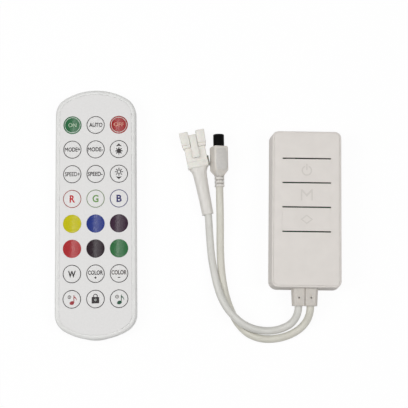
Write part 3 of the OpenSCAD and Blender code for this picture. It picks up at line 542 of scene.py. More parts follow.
def make_box_cover():
    """The cover as one wall: up the outside, over the ledge and panel, down the key window."""
    rings = [case_ring(0, z) for z in (0, 4, 9)]
    rings += [case_ring(shrink, SHOULDER - down) for shrink, down in quarter(CASE_EDGE, 8)]
    rings += [case_ring(PANEL_IN - PANEL_GROOVE, SHOULDER),
              case_ring(PANEL_IN - 0.8 * PANEL_GROOVE, SHOULDER - 0.7 * PANEL_GROOVE),
              case_ring(PANEL_IN, SHOULDER - 0.7 * PANEL_GROOVE)]
    rings += [case_ring(PANEL_IN + shrink, CASE_H - down)
              for shrink, down in quarter(PANEL_EDGE, 4)]
    rings += [window_ring(CASE_H), window_ring(ROOF_UNDER), case_ring(CASE_WALL, ROOF_UNDER),
              case_ring(CASE_WALL, FLOOR_T), case_ring(CASE_WALL / 2, FLOOR_T),
              case_ring(CASE_WALL / 2, 0)]
    half, end = NECK_W / 2 + FIT, -CASE_L / 2
    notch = box(GRIP_X - half, GRIP_X + half, end - NECK_NOTCH, end + NECK_NOTCH, -OVER,
                GRIP_Z + NECK_H / 2 + FIT)
    shells = [cut(loft(rings, looped=True), [notch])]
    foot = BOARD_TOP + FIT
    for x in (-PILLAR_X, PILLAR_X):
        for y in PILLAR_YS:
            shells.append(turned([(PIN_D / 2 + PIN_SLACK, foot), (PILLAR_D / 2, foot),
                                  (PILLAR_D / 2, ROOF_UNDER + JOIN)], 32, x, y))
    piece("box_cover", shells, "controller", COVER_ABS, stands_for=("top_cover",))


def band(outer, inner, z0, z1):
    """A flat ring between two outlines of as many points."""
    return loft([[(x, y, z0) for x, y in outer], [(x, y, z1) for x, y in outer],
                 [(x, y, z1) for x, y in inner], [(x, y, z0) for x, y in inner]], looped=True)


def power_mark(z0, z1):
    """A ring that is open at the top, and a stroke down through the opening."""
    start, end, half = 90 + POWER_GAP, 450 - POWER_GAP, MARK_LINE / 2
    outer = arc(0, 0, POWER_R, start, end, 48)
    inner = arc(0, 0, POWER_R - MARK_LINE, end, start, 48)
    return [prism(outer + inner, z0, z1), box(-half, half, *POWER_STROKE, z0, z1)]


def letter_m(w, h, t, x=0.0):
    """The outline of a capital M as wide and high as given, drawn with a line of that thickness."""
    outline = [(0, 0), (t, 0), (t, h - 2 * t), (w / 2, h / 3), (w - t, h - 2 * t), (w - t, 0),
               (w, 0), (w, h), (w - t, h), (w / 2, h / 3 + 2 * t), (t, h), (0, h)]
    return [(px - w / 2 + x, py - h / 2) for px, py in outline]


def mode_mark(z0, z1):
    return [prism(letter_m(LETTER_W, LETTER_H, MARK_LINE), z0, z1)]


def pattern_mark(z0, z1):
    """The outline of a diamond, whose line is measured across its corners at the sides."""
    w, h = DIAMOND_W / 2, DIAMOND_H / 2
    k = (w - DIAMOND_LINE) / w
    return [band([(-w, 0), (0, -h), (w, 0), (0, h)],
                 [(-w * k, 0), (0, -h * k), (w * k, 0), (0, h * k)], z0, z1)]


def make_key_bar(name, y, mark):
    """A bar between two slits, its long edges broken, its mark sunk in, and the post below."""
    half, low, bend = (KEY_PITCH - SLIT_W) / 2, CASE_H - BAR_T, CASE_H - BAR_EDGE
    section = [(-half, low), (half, low)] + arc(half - BAR_EDGE, bend, BAR_EDGE, 0, 90, 3)
    section += arc(BAR_EDGE - half, bend, BAR_EDGE, 90, 180, 3)
    reach = SLIT_L / 2 - BAR_SLACK
    bar = loft([[(x, py, pz) for py, pz in section] for x in (-reach, reach)])
    bar = cut(bar, mark(CASE_H - MARK_DEPTH, CASE_H + OVER))
    # Faces that lie wholly inside the bar's height are those of the sunk mark
    sunk = [int(all(low + BAR_EDGE < bar[0][i][2] < bend for i in face)) for face in bar[1]]
    post = turned([(POST_D / 2 - POST_EDGE, STEM_TOP), (POST_D / 2, STEM_TOP + POST_EDGE),
                   (POST_D / 2, low + JOIN)], 32)
    # The sunk mark's faces take the second, darker paint: painted shade in the shallow recess
    piece(f"{name}_key_bar", [(*bar, sunk), post], f"{name}_button",
          [COVER_ABS, MARK_SHADED_ABS], Matrix.Translation((0, y, 0)), stands_for=(f"{name}_key",))


def make_cord_grip():
    """Two soft lobes side by side, with a groove between them and a dimple in each, and behind
    them the neck in the end wall and the flange inside it."""
    steps, tip = 8, -CASE_L / 2 - GRIP_L
    # Sections from the case's wall to the outer end, whose rim is rounded
    cuts = [(0, 0), (0.33, 0), (0.66, 0), (0.94, 0)]
    cuts += [(1 - down / GRIP_L, shrink) for shrink, down in quarter(GRIP_EDGE, 3)]
    shells = []
    for side in (-1, 1):
        rings = []
        for share, shrink in cuts:
            w = (GRIP_W - share * GRIP_TAPER) / 2 - shrink - GRIP_OUTER_R
            h = (GRIP_H - share * GRIP_TAPER) / 2 - shrink
            high, low = h - GRIP_OUTER_R, h - GRIP_INNER_R
            left = GRIP_PART + shrink + GRIP_INNER_R
            outline = (arc(w, high, GRIP_OUTER_R, 0, 90, steps)
                       + arc(left, low, GRIP_INNER_R, 90, 180, steps)
                       + arc(left, -low, GRIP_INNER_R, 180, 270, steps)
                       + arc(w, -high, GRIP_OUTER_R, 270, 360, steps))
            ring = []
            for x, z in outline:
                wall = -CASE_L / 2 + lean(GRIP_Z + z) - FIT
                ring.append((side * x, wall + (tip - wall) * share, z))
            rings.append(ring)
        dimple = turned([(DIMPLE_R - 0.15, DIMPLE_Z), (DIMPLE_R, DIMPLE_Z + 0.3),
                         (DIMPLE_R, GRIP_H / 2 + 0.8)], 24, side * DIMPLE_X, DIMPLE_Y)
        shells.append(cut(loft(rings), [dimple]))
    for wide, ys in ((NECK_W, NECK_YS), (FLANGE_W, FLANGE_YS)):
        shells.append(box(-wide / 2, wide / 2, *ys, -NECK_H / 2, NECK_H / 2))
    piece("cord_grip_lobes", shells, "controller", SOFT_PVC,
          Matrix.Translation((GRIP_X, 0, GRIP_Z)), stands_for=("cord_grip",), sharp=50)


make_box_cover()
for bar_name, bar_y, bar_mark in zip(("power", "mode", "pattern"), KEY_YS,
                                     (power_mark, mode_mark, pattern_mark)):
    make_key_bar(bar_name, bar_y, bar_mark)
make_cord_grip()

# Strip connector
PLUG_AT, PLUG_TURN = Vector((-55.7, 21.9, 0)), 12.2
PLUG_W, PLUG_L, PLUG_H, PLUG_WALL, PLUG_CORNER, MOUTH = 10.9, 17.6, 5.9, 0.9, 0.45, 12.0
# Its ears, with the lower step behind each
EAR_SPAN, EAR_L, EAR_LEAD, EAR_TAPER, EAR_RISE, EAR_EDGE = 13.4, 8.6, 1.7, 0.45, 1.5, 0.35
STEP_L, STEP_JOIN, STEP_DOWN, STEP_IN = 1.6, 0.5, 0.55, 0.25
# The hollow rib down its right flank, the collar across its back and the windows of its contacts
RIB_SHARE, RIB_SEAT, RIB_EDGE, RIB_T = 0.3, 0.5, 0.08, 0.15
COLLAR_OUT, COLLAR_YS, COLLAR_LOW, COLLAR_RISE, COLLAR_EDGE = 0.08, (0.3, 3.3), 0.6, 0.16, 0.3
CONTACT_PITCH, WINDOW_W, WINDOW_YS, WINDOW_TOP = 2.5, 1.1, (3.2, 5.2), 0.6
LEVER_W, LEVER_L, LEVER_T, LEVER_LIFT, LEVER_GAP, LEVER_BACK = 3.6, 12.5, 0.8, 0.55, 0.2, 0.45
THUMB_L, THUMB_RISE, ROCKER_SHARE = 0.9, 0.15, 0.6
SLEEVE_D, SLEEVE_END_W, SLEEVE_END_LESS = 6.0, 10.0, 0.1
at_plug = Matrix.Translation(PLUG_AT) @ about("Z", PLUG_TURN)


def make_strip_plug():
    """A flat nylon shell open at the front, with two ears that stand up beside the lever."""
    # From the back over the front's broken rim and into the mouth, as distance and inset
    body = [[(x, y, z) for x, z in rounded(PLUG_W - 2 * inset, PLUG_H - 2 * inset, PLUG_CORNER, 5,
                                           y=PLUG_H / 2)]
            for y, inset in ((0, 0.35), (0.1, 0.12), (0.35, 0), (PLUG_L - 0.25, 0),
                             (PLUG_L - 0.05, 0.08), (PLUG_L, 0.25), (PLUG_L, PLUG_WALL - 0.1),
                             (PLUG_L - 0.2, PLUG_WALL), (PLUG_L - MOUTH, PLUG_WALL))]
    windows = [box(x - WINDOW_W / 2, x + WINDOW_W / 2, *WINDOW_YS, -OVER, WINDOW_TOP)
               for x in (-CONTACT_PITCH, 0, CONTACT_PITCH)]
    shells = [cut(loft(body), windows)]
    front, inner = PLUG_L + EAR_LEAD, LEVER_W / 2 + LEVER_GAP
    rear, top = front - EAR_L, PLUG_H + EAR_RISE
    for s in (-1, 1):
        def ear(y0, y1, z1, shrink=0.0):
            near, far = (EAR_SPAN / 2 - EAR_TAPER * (front - y) / EAR_L - shrink
                         for y in (y0, y1))
            outline = [(s * inner, y0), (s * near, y0), (s * far, y1), (s * inner, y1)]
            return softened(prism(outline, PLUG_H / 4, z1), EAR_EDGE)
        shells.append(ear(rear + STEP_L, front, top))
        # The lower step is drawn in a little, which leaves the dark undercut
        shells.append(ear(rear, rear + STEP_L + STEP_JOIN, top - STEP_DOWN, STEP_IN))
    start, side = PLUG_WALL / 2, PLUG_W / 2
    end, out = start + PLUG_L * RIB_SHARE, side + PLUG_WALL
    flank = block(side - RIB_SEAT, out, start, end, PLUG_WALL, PLUG_H / 2, RIB_EDGE, 2)
    hollow = box(side + 0.03, out - RIB_T, start + RIB_T, end - RIB_T, PLUG_WALL + 0.1, PLUG_H)
    shells.append(cut(flank, [hollow]))
    shells.append(block(-side - COLLAR_OUT, side + COLLAR_OUT, *COLLAR_YS, COLLAR_LOW,
                        PLUG_H + COLLAR_RISE, COLLAR_EDGE))
    return piece("strip_connector_shell", shells, "controller", NATURAL_NYLON,
                 at_plug, stands_for=("strip_connector",))


def make_plug_lever():
    """The latch: a springy tongue with a thumb ridge at its back and a round ridge to rock on."""
    low, half = PLUG_H + LEVER_LIFT, LEVER_W / 2
    back, high = PLUG_L - LEVER_L, low + LEVER_T
    tongue = block(-half, half, back, PLUG_L - LEVER_BACK, low, high, 0.16)
    thumb = block(-half, half, back, back + THUMB_L, low, high + THUMB_RISE, 0.14)
    rocker = moved(turned([(LEVER_LIFT - 0.05, -half), (LEVER_LIFT - 0.05, half)], 32),
                   Matrix.Translation((0, PLUG_L - LEVER_L * ROCKER_SHARE, low)) @ about("Y", 90))
    return piece("latch_tongue", [tongue, thumb, rocker], "latch",
                 NATURAL_NYLON, at_plug, stands_for=("latch_lever",))


def make_sleeve():
    """The shrunk tube: round on the cord, oval over the back of the connector, a little creased."""
    first, last = Vector(STRIP_ROUTE[-1]), Vector((PLUG_AT.x, PLUG_AT.y, PLUG_H / 2))
    run_shares = (0, 0.28, 0.46, 0.64, 0.8, 0.9, 0.96, 1)
    width_shares = (0, 0.06, 0.11, 0.2, 0.31, 0.45, 0.82, 1)
    steps, sides = 6, 48
    line = smooth_route([first.lerp(last, share) for share in run_shares], steps)
    swell = [p.x for p in smooth_route([(share, 0, 0) for share in width_shares], steps)]
    # Creases: how deep as a share of the tube, and how fast they change round it and along it
    crease_share, crease_round, crease_along = 0.022, 0.42, 0.16

    def crease(i, k):
        p = line[i]
        ease = min(1, max(0, swell[i])) * 0.8 + 0.25
        fold = noise.noise(Vector((k % sides * crease_round, p.y * crease_along, 3.1)))
        return crease_share * ease * (fold - 0.9)

    def half_sizes(i):
        s = swell[i]
        return ((SLEEVE_D + s * (SLEEVE_END_W - SLEEVE_D)) / 2,
                (SLEEVE_D - s * (SLEEVE_D - PLUG_H + SLEEVE_END_LESS)) / 2)

    rings = []
    # The rounded rim on the cord, and then the tube
    for grow, i in [(-0.85, 0), (-0.16, 0), (-0.04, 0)] + [(0, i) for i in range(1, len(line))]:
        wide, high = half_sizes(i)
        rings.append(tube_ring(line, i, wide + grow, high + grow, sides, crease if i else None))
    return piece("shrunk_sleeve", [loft(rings)], "controller", SHRUNK_TUBE,
                 stands_for=("shrink_sleeve",), sharp=50)


strip_plug = make_strip_plug()
plug_lever = make_plug_lever()
sleeve = make_sleeve()

# Barrel socket
SOCKET_AT, SOCKET_TURN, SOCKET_ROLL = Vector((-45.3, 33.15, 4.8)), 1.8, 22
SOCKET_W, SOCKET_L, SOCKET_NECK, CORNER_SHARE = 7.7, 15.7, 3.1, 0.12
BARREL_D, BARREL_L, BARREL_RIM, BORE, BORE_RIM = 5.7, 6.3, 0.35, 3.6, 0.25
# Its relief: the ribs, the grooves between them, the core and the straight bars at the flanks
RELIEF_D, RELIEF_L, RIBS, RIB_GROOVE, RIB_DEPTH, RIB_ROUND = 5.1, 5.7, 3, 0.7, 0.7, 0.2
CORE_R, FLANK_X, FLANK_T, FLANK_H, RELIEF_SEAT = 2.02, 2.15, 0.6, 1.4, 0.4
# Its finger pads, and how far each of the two stands up
PAD_W, PAD_L, PAD_R, PAD_Y, PAD_RISES = 5.9, 11.4, 1.7, -7.3, (0.24, 0.1)
at_socket = Matrix.Translation(SOCKET_AT) @ about("Z", SOCKET_TURN) @ about("Y", SOCKET_ROLL)


def make_socket_body():
    """A square soft body with rounded corners, drawn in to a ribbed relief, with raised pads."""
    steps, corner = 8, CORNER_SHARE * SOCKET_W

    def section(y, w, r):
        return [(x, y, z) for x, z in rounded(w, w, r, steps)]

    def neck(y, share):
        square = section(y, SOCKET_W, corner)
        circle = [(RELIEF_D / 2 * math.cos(t), y, RELIEF_D / 2 * math.sin(t))
                  for t in [math.atan2(z, x) for x, _, z in square]]
        ease = share * share * (3 - 2 * share) * 0.35 + share * 0.65
        return [tuple(Vector(a).lerp(Vector(b), ease)) for a, b in zip(square, circle)]

    rings = []
    for a in (90, 67, 45, 22, 0):
        inset = corner * (1 - math.cos(math.radians(a)))
        rings.append(section(-corner * (1 - math.sin(math.radians(a))), SOCKET_W - 2 * inset,
                             max(0.25, corner - inset * 0.6)))
    straight = SOCKET_L - SOCKET_NECK
    rings += [neck(-straight - SOCKET_NECK * k / 6, k / 6) for k in range(7)]
    shells = [cut(loft(rings), [along_y([(BARREL_D / 2, -JOIN), (BARREL_D / 2, OVER)])])]
    # A raised pad with round ends on two opposite faces, as a finger hold
    for turn, rise in zip((0, 180), PAD_RISES):
        pad = [[(x, y, SOCKET_W / 2 + z)
                for x, y in rounded(PAD_W - d, PAD_L - d, PAD_R - d / 2, 8, y=PAD_Y)]
               for d, z in ((0, -JOIN), (0, rise * 0.4), (0.14, rise * 0.8), (0.4, rise))]
        shells.append((*moved(loft(pad), about("Y", turn)), 1))
    return shells


def new_growth(name, inputs):
    """An empty tree that grows a mesh from named numbers, and their sockets."""
    tree = bpy.data.node_groups.new(name, "GeometryNodeTree")
    for label in inputs:
        kind = "NodeSocketInt" if label == "Count" else "NodeSocketFloat"
        tree.interface.new_socket(name=label, in_out="INPUT", socket_type=kind)
    tree.interface.new_socket(name="Geometry", in_out="OUTPUT",
                              socket_type="NodeSocketGeometry")
    return tree, add(tree, "NodeGroupInput").outputs


def set_out(tree, points, form, paint, turns=None):
    """Ends a tree with one copy of a form on each point, in one paint."""
    inputs = {"Points": points, "Instance": form}
    if turns is not None:
        inputs["Rotation"] = turns
    real = flow(tree, "GeometryNodeRealizeInstances",
                {0: flow(tree, "GeometryNodeInstanceOnPoints", inputs)})
    painted = flow(tree, "GeometryNodeSetMaterial", {"Geometry": real, "Material": paint})
    add(tree, "NodeGroupOutput", {0: painted})
    return tree


def relief_ribs_tree(paint):
    """Rings in a row along a line: how many, how far apart, how wide and how thick."""
    tree, given = new_growth("relief_ribs", ("Count", "Pitch", "Radius", "Width", "Depth"))
    step = flow(tree, "ShaderNodeCombineXYZ", {1: given["Pitch"]})
    row = flow(tree, "GeometryNodeMeshLine", {"Count": given["Count"], "Offset": step},
               mode="OFFSET")
    circle = flow(tree, "GeometryNodeCurvePrimitiveCircle", {"Resolution": 48,
                                                             "Radius": given["Radius"]})
    upright = flow(tree, "GeometryNodeTransform", {"Geometry": circle,
                                                   "Rotation": (math.pi / 2, 0, 0)})
    profile = flow(tree, "GeometryNodeCurvePrimitiveQuadrilateral", {"Width": given["Depth"],
                                                                     "Height": given["Width"]})
    eased = flow(tree, "GeometryNodeFilletCurve", {"Curve": profile, "Radius": RIB_ROUND * MM,
                                                   "Count": 3}, mode="POLY")
    rib = flow(tree, "GeometryNodeCurveToMesh", {"Curve": upright, "Profile Curve": eased})
    return set_out(tree, row, rib, paint)


def grown(name, tree, values):
    """Runs a tree on an empty mesh with its inputs given by name, lengths in mm, as a shell."""
    host = linked(name, bpy.data.meshes.new(name))
    step = host.modifiers.new("grow", "NODES")
    step.node_group = tree
    sockets = {item.name: item.identifier for item in tree.interface.items_tree
               if item.in_out == "INPUT"}
    for label, value in values.items():
        step[sockets[label]] = value if label == "Count" else value * MM
    graph = bpy.context.evaluated_depsgraph_get()
    mesh = bpy.data.meshes.new_from_object(host.evaluated_get(graph))
    bpy.data.objects.remove(host)
    scale = 1 / MM
    shell = ([tuple(v.co * scale) for v in mesh.vertices],
             [tuple(p.vertices) for p in mesh.polygons])
    bpy.data.meshes.remove(mesh)
    return shell


def make_relief():
    """The relief: a core round the cord, ribs in a row, and a straight bar along each flank."""
    pitch = RELIEF_L / RIBS
    width, low = pitch - RIB_GROOVE, -SOCKET_L - RELIEF_L
    ribs = grown("relief_ribs", relief_ribs_tree(PALE_PVC), {
        "Count": RIBS, "Pitch": pitch, "Radius": RELIEF_D / 2 - RIB_DEPTH / 2, "Width": width,
        "Depth": RIB_DEPTH})
    ribs = moved(ribs, Matrix.Translation((0, low + width / 2, 0)))
    seat = -SOCKET_L + RELIEF_SEAT
    core = along_y([(CORE_R - 0.07, low), (CORE_R, low + 0.1), (CORE_R, seat)], 40)
    bars = [block(x - FLANK_T / 2, x + FLANK_T / 2, low + 0.05, seat, -FLANK_H / 2, FLANK_H / 2, 0.2)
            for x in (-FLANK_X, FLANK_X)]
    top = along_y([(RELIEF_D / 2, -SOCKET_L - 0.1), (RELIEF_D / 2, -SOCKET_L + JOIN)])
    # The core between the ribs takes the third paint, darker as painted shade in the grooves
    return [ribs, (*core, 2)] + bars + [top]


def make_barrel():
    """The black socket: a short tube with a broken rim and a bore."""
    r, bore, end = BARREL_D / 2, BORE / 2, BARREL_L
    profile = [(bore, -JOIN), (r, -JOIN), (r, end - BARREL_RIM), (r - 0.1, end - 0.1),
               (r - BARREL_RIM, end), (bore + BORE_RIM, end), (bore, end - BORE_RIM)]
    return piece("socket_barrel", [along_y(profile, looped=True)], "controller",
                 BLACK_NYLON, at_socket, stands_for=("jack_barrel",))


socket_body = piece("socket_body", make_socket_body() + make_relief(), "controller",
                    [PALE_PVC, PAD_PVC, SHADED_GROOVE_PVC], at_socket,
                    stands_for=("jack_body",), sharp=45)
socket_barrel = make_barrel()

# Remote
REMOTE_W, REMOTE_L, REMOTE_H = 42.0, 130.0, 7.4
END_R, CORNER_R, EDGE_R, FOOT_R, SHELL_T = 31.5, 10.0, 1.4, 0.8, 1.4
SPLIT_Z, RIM_Z, FILM_Z, ROOF_LOW, REMOTE_FLOOR = 4.15, 7.3, 7.15, 6.0, 0.9
# The film's inset, and its seat's; the seam's groove between the shells, and their pegs
FILM_IN, FILM_EDGE, SEAT_IN = 2.4, 0.06, 2.34
SEAM_UP, SEAM_DOWN, SEAM_IN, PEG_R, PEG_EDGE = 0.9, 0.12, 0.1, 2.3, 0.1
ARC_Y = REMOTE_L / 2 - END_R
CORNER_X = REMOTE_W / 2 - CORNER_R
CORNER_Y = ARC_Y + math.sqrt((END_R - CORNER_R) ** 2 - CORNER_X ** 2)
at_remote = Matrix.Translation((-108.6, -3.2, 0)) @ about("Z", 1.5)
# Battery tray: its cell's pocket, the tray, the lip to pull, and the bay with its rails
CELL_Y, CELL_Z, CELL_D, CELL_SLACK = -50.8, 1.4, 20.0, 0.1
TRAY_W, TRAY_LOW, TRAY_TOP, TRAY_END, TRAY_EDGE = 23.2, 1.0, 3.9, -39.4, 0.2
LIP_W, LIP_OUT, LIP_IN, LIP_BACK, LIP_TOP, LIP_EDGE = 12.2, 0.4, 0.6, -62.5, 2.45, 0.3
BAY_W, BAY_REACH, RAIL_T = 23.4, 15, 1.4
# Keys: the caps, the plungers below them, and where the rows and columns are
KEY_D, KEY_T, KEY_CROWN, KEY_SLACK, KEY_EDGE = 9.45, 0.9, 0.3, 0.02, 0.1
PLUNGER_R, PLUNGER_LOW, PLUNGER_ROOT = 1.5, 5.65, 6.6
CROWN_SHARES = (0.995, 0.97, 0.92, 0.84, 0.72, 0.58, 0.42, 0.26, 0.1)
COLUMN_ROOM, FIRST_ROOM, LAST_ROOM = 8.9, 18.6, 20.8
COLUMN_PITCH = REMOTE_W / 2 - COLUMN_ROOM
FIRST_ROW_Y = REMOTE_L / 2 - FIRST_ROOM
ROW_PITCH = (REMOTE_L - FIRST_ROOM - LAST_ROOM) / 7
KEYS = ("on", "auto", "off", "mode_up", "mode_down", "brighter", "speed_up", "speed_down",
        "dimmer", "red", "green", "blue", "yellow", "azure", "violet", "crimson", "plum",
        "emerald", "white", "colour_up", "colour_down", "sound_one", "lock", "sound_two")


def key_place(i):
    return ((i % 3 - 1) * COLUMN_PITCH, FIRST_ROW_Y - i // 3 * ROW_PITCH)


def remote_ring(inset, z):
    """The plan of the remote: straight sides, broad round ends, and smaller arcs between them."""
    a = math.degrees(math.atan2(CORNER_Y - ARC_Y, CORNER_X))
    half = arc(CORNER_X, -CORNER_Y, CORNER_R - inset, 0, -a, 12)
    half += arc(0, -ARC_Y, END_R - inset, -a, a - 180, 36)[1:-1]
    half += arc(-CORNER_X, -CORNER_Y, CORNER_R - inset, a - 180, -180, 12)
    return [(x, y, z) for x, y in half] + [(-x, -y, z) for x, y in half]


def key_holes(z0, z1):
    r = KEY_D / 2 + KEY_SLACK
    return [turned([(r, z0), (r, z1)], 64, *key_place(i)) for i in range(len(KEYS))]


def make_remote_shells():
    """The upper shell with the film's seat sunk in its roof, and the lower one with pegs, rails
    and an open end for the tray."""
    wall = [remote_ring(0, SPLIT_Z), remote_ring(0, SPLIT_Z + SEAM_UP)]
    wall += [remote_ring(shrink, RIM_Z - down) for shrink, down in quarter(EDGE_R, 8)]
    wall += [remote_ring(FILM_IN - 0.1, RIM_Z), remote_ring(SEAT_IN, FILM_Z),
             remote_ring(SEAT_IN, ROOF_LOW), remote_ring(SHELL_T, ROOF_LOW),
             remote_ring(SHELL_T, SPLIT_Z)]
    roof = cut(loft([remote_ring(SEAT_IN, ROOF_LOW), remote_ring(SEAT_IN, FILM_Z)]),
               key_holes(ROOF_LOW - OVER, FILM_Z + OVER))
    piece("remote_upper_shell", [loft(wall, looped=True), roof], "remote",
          SHELL_ABS, at_remote, stands_for=("remote_top_case",))

    cup = [remote_ring(shrink, up) for up, shrink in quarter(FOOT_R, 6)]
    cup += [remote_ring(0, 2.5), remote_ring(0, SPLIT_Z - SEAM_DOWN),
            remote_ring(SEAM_IN, SPLIT_Z), remote_ring(SHELL_T, SPLIT_Z),
            remote_ring(SHELL_T, REMOTE_FLOOR)]
    side, end = BAY_W / 2, -REMOTE_L / 2
    bay = box(-side, side, end - BAY_REACH, end + BAY_REACH, REMOTE_FLOOR, SPLIT_Z + OVER)
    shells = [cut(loft(cup), [bay])]
    low = REMOTE_FLOOR - JOIN
    for s in (-1, 1):
        shells.append(box(*sorted((s * side, s * (side + RAIL_T))), CELL_Y - CELL_D / 2,
                          CELL_Y + CELL_D / 2, low, SPLIT_Z))
        for y in (CORNER_Y, 0, -CORNER_Y / 3):
            shells.append(turned([(PEG_R, low), (PEG_R, SPLIT_Z - PEG_EDGE),
                                  (PEG_R - PEG_EDGE, SPLIT_Z)], 32, s * CORNER_X, y))
    piece("remote_lower_shell", shells, "remote", SHELL_ABS, at_remote,
          stands_for=("remote_bottom_case",))


def make_remote_face():
    film = loft([remote_ring(FILM_IN, FILM_Z), remote_ring(FILM_IN, REMOTE_H - FILM_EDGE),
                 remote_ring(FILM_IN + FILM_EDGE, REMOTE_H)])
    piece("remote_face", [cut(film, key_holes(FILM_Z - OVER, REMOTE_H + OVER))], "remote",
          FACE_FILM, at_remote, stands_for=("face_film",))


def crown_z(r):
    """Height of a key's face at a distance from its middle."""
    big = ((KEY_D / 2) ** 2 + KEY_CROWN ** 2) / (2 * KEY_CROWN)
    return REMOTE_H + KEY_CROWN - big + math.sqrt(big * big - r * r)


def make_key_cap(i, name, paint):
    """A disc with a low crown, and the plunger that waits over its snap dome."""
    r, low = KEY_D / 2, REMOTE_H - KEY_T
    profile = [(PLUNGER_R, PLUNGER_LOW), (PLUNGER_R, PLUNGER_ROOT), (PLUNGER_R + 0.2, low),
               (r - KEY_EDGE, low), (r, low + KEY_EDGE), (r, REMOTE_H - 0.03)]
    profile += [(r * share, crown_z(r * share)) for share in CROWN_SHARES]
    piece(f"cap_{name}", [turned(profile, 64, *key_place(i))], f"button_{name}", paint,
          at_remote, stands_for=(f"key_{name}",), sharp=30)


make_remote_shells()
make_remote_face()
# Each coloured cap's print and material slot, and those of all the others
CAP_COLOURS = {"on": ("green", "key_green"), "off": ("red", "key_red"),
               "yellow": ("yellow", "key_yellow"), "azure": ("blue", "key_blue"),
               "violet": ("purple", "key_purple"), "crimson": ("crimson", "key_red"),
               "plum": ("dark_plum", "key_dark_plum"), "emerald": ("emerald", "key_green")}
PLAIN_CAP = ("white", "key_white")
for key_number, key_name in enumerate(KEYS):
    cap_paint, cap_slot = CAP_COLOURS.get(key_name, PLAIN_CAP)
    make_key_cap(key_number, key_name, KEY_PAINTS[cap_paint])

# Printed legends
# How far the ink stands over the key's crown
LIFT = 0.01
# Height of the printed capitals, how far their line is thickened on each side, and the share of
# the type's size that a capital takes up
CAPITAL, BOLD, CAPITAL_SHARE = 2.1, 0.09, 0.7


def words(text, wide=None, x=0, y=0, size=CAPITAL, bold=BOLD, colour="grey"):
    """Lettering about a middle point, with capitals of a size and a line as wide as given, and
    the name of its ink."""
    curve = bpy.data.curves.new("lettering", "FONT")
    curve.body = text
    curve.align_x = "CENTER"
    curve.size = size / CAPITAL_SHARE
    curve.offset = bold
    curve.resolution_u = 6
    host = linked("lettering", curve)
    mesh = bpy.data.meshes.new_from_object(host)
    bpy.data.objects.remove(host)
    bpy.data.curves.remove(curve)
    xs = [v.co.x for v in mesh.vertices]
    ys = [v.co.y for v in mesh.vertices]
    mid_x, mid_y = (min(xs) + max(xs)) / 2, (min(ys) + max(ys)) / 2
    spread = wide / (max(xs) - min(xs)) if wide else 1
    points = [((v.co.x - mid_x) * spread + x, v.co.y - mid_y + y) for v in mesh.vertices]
    faces = [tuple(p.vertices) for p in mesh.polygons]
    bpy.data.meshes.remove(mesh)
    return (points, faces), colour


def flat_ring(r, line, x=0, y=0, steps=96, start=0, end=360):
    outer = arc(x, y, r, start, end, steps)
    inner = arc(x, y, r - line, start, end, steps)
    faces = [(k, k + 1, steps + 2 + k, steps + 1 + k) for k in range(steps)]
    return outer + inner, faces


def flat_disc(r, x=0, y=0, squeeze=1.0, turn=0.0, steps=32):
    c, s = math.cos(math.radians(turn)), math.sin(math.radians(turn))
    outline = [(px * c - py * squeeze * s, px * s + py * squeeze * c)
               for px, py in arc(0, 0, r, 0, 360 - 360 / steps, steps - 1)]
    return [(x + px, y + py) for px, py in outline], [tuple(range(steps))]


def flat_shape(outline):
    return list(outline), [tuple(range(len(outline)))]


def stroke(a, b, line):
    """A straight line with square ends."""
    a, b = Vector(a), Vector(b)
    across = (b - a).normalized().orthogonal() * line / 2
    return flat_shape([tuple(p) for p in (a + across, b + across, b - across, a - across)])


def sun_rays_tree(paint):
    """Short rays round a circle: how many, from how far out, how long and how wide."""
    tree, given = new_growth("sun_rays", ("Count", "Start", "Length", "Width"))
    circle = flow(tree, "GeometryNodeMeshCircle", {"Vertices": given["Count"],
                                                   "Radius": given["Start"]})
    ray = flow(tree, "GeometryNodeMeshGrid", {"Size X": given["Length"], "Size Y": given["Width"],
                                              "Vertices X": 2, "Vertices Y": 2})
    half = flow(tree, "ShaderNodeMath", {0: given["Length"], 1: 0.5}, operation="MULTIPLY")
    shift = flow(tree, "ShaderNodeCombineXYZ", {0: half})
    outward = flow(tree, "GeometryNodeTransform", {"Geometry": ray, "Translation": shift})
    spot = flow(tree, "GeometryNodeInputPosition")
    facing = flow(tree, "FunctionNodeAlignRotationToVector", {"Vector": spot}, axis="X",
                  pivot_axis="Z")
    return set_out(tree, circle, outward, paint, facing)


RAYS = sun_rays_tree(INKS["grey"])


def rays(x, y, start, length, width):
    points, faces = grown("sun_rays", RAYS, {"Count": 8, "Start": start, "Length": length,
                                             "Width": width})
    return [(px + x, py + y) for px, py, _ in points], faces


def fine_grained(points, faces, longest=0.6):
    """The same flat shape in faces small enough to follow a crown, all facing up."""
    bm = bmesh.new()
    corners = [bm.verts.new((x, y, 0)) for x, y in points]
    for face in faces:
        bm.faces.new([corners[i] for i in face])
    bm.normal_update()
    bmesh.ops.triangulate(bm, faces=bm.faces)
    for _ in range(4):
        edges = [e for e in bm.edges if e.calc_length() > longest]
        if not edges:
            break
        bmesh.ops.subdivide_edges(bm, edges=edges, cuts=1)
        bm.normal_update()
        bmesh.ops.triangulate(bm, faces=bm.faces)
    bm.normal_update()
    for face in bm.faces:
        if face.normal.z < 0:
            face.normal_flip()
    shell = as_shell(bm)
    return [(x, y) for x, y, _ in shell[0]], list({frozenset(f): f for f in shell[1]}.values())


def legend(i, name, marks):
    """Prints flat marks on a key's crown. Each mark is a flat shape and the name of its ink."""
    inks = sorted({colour for _, colour in marks})
    shells = []
    cx, cy = key_place(i)
    for shape, colour in marks:
        points, faces = fine_grained(*shape)
        lifted = [(x + cx, y + cy, crown_z(min(math.hypot(x, y), KEY_D / 2 - 0.01)) + LIFT)
                  for x, y in points]
        shells.append((lifted, faces, inks.index(colour)))
    piece(f"legend_{name}", shells, f"button_{name}", [INKS[colour] for colour in inks],
          at_remote, flat=True)


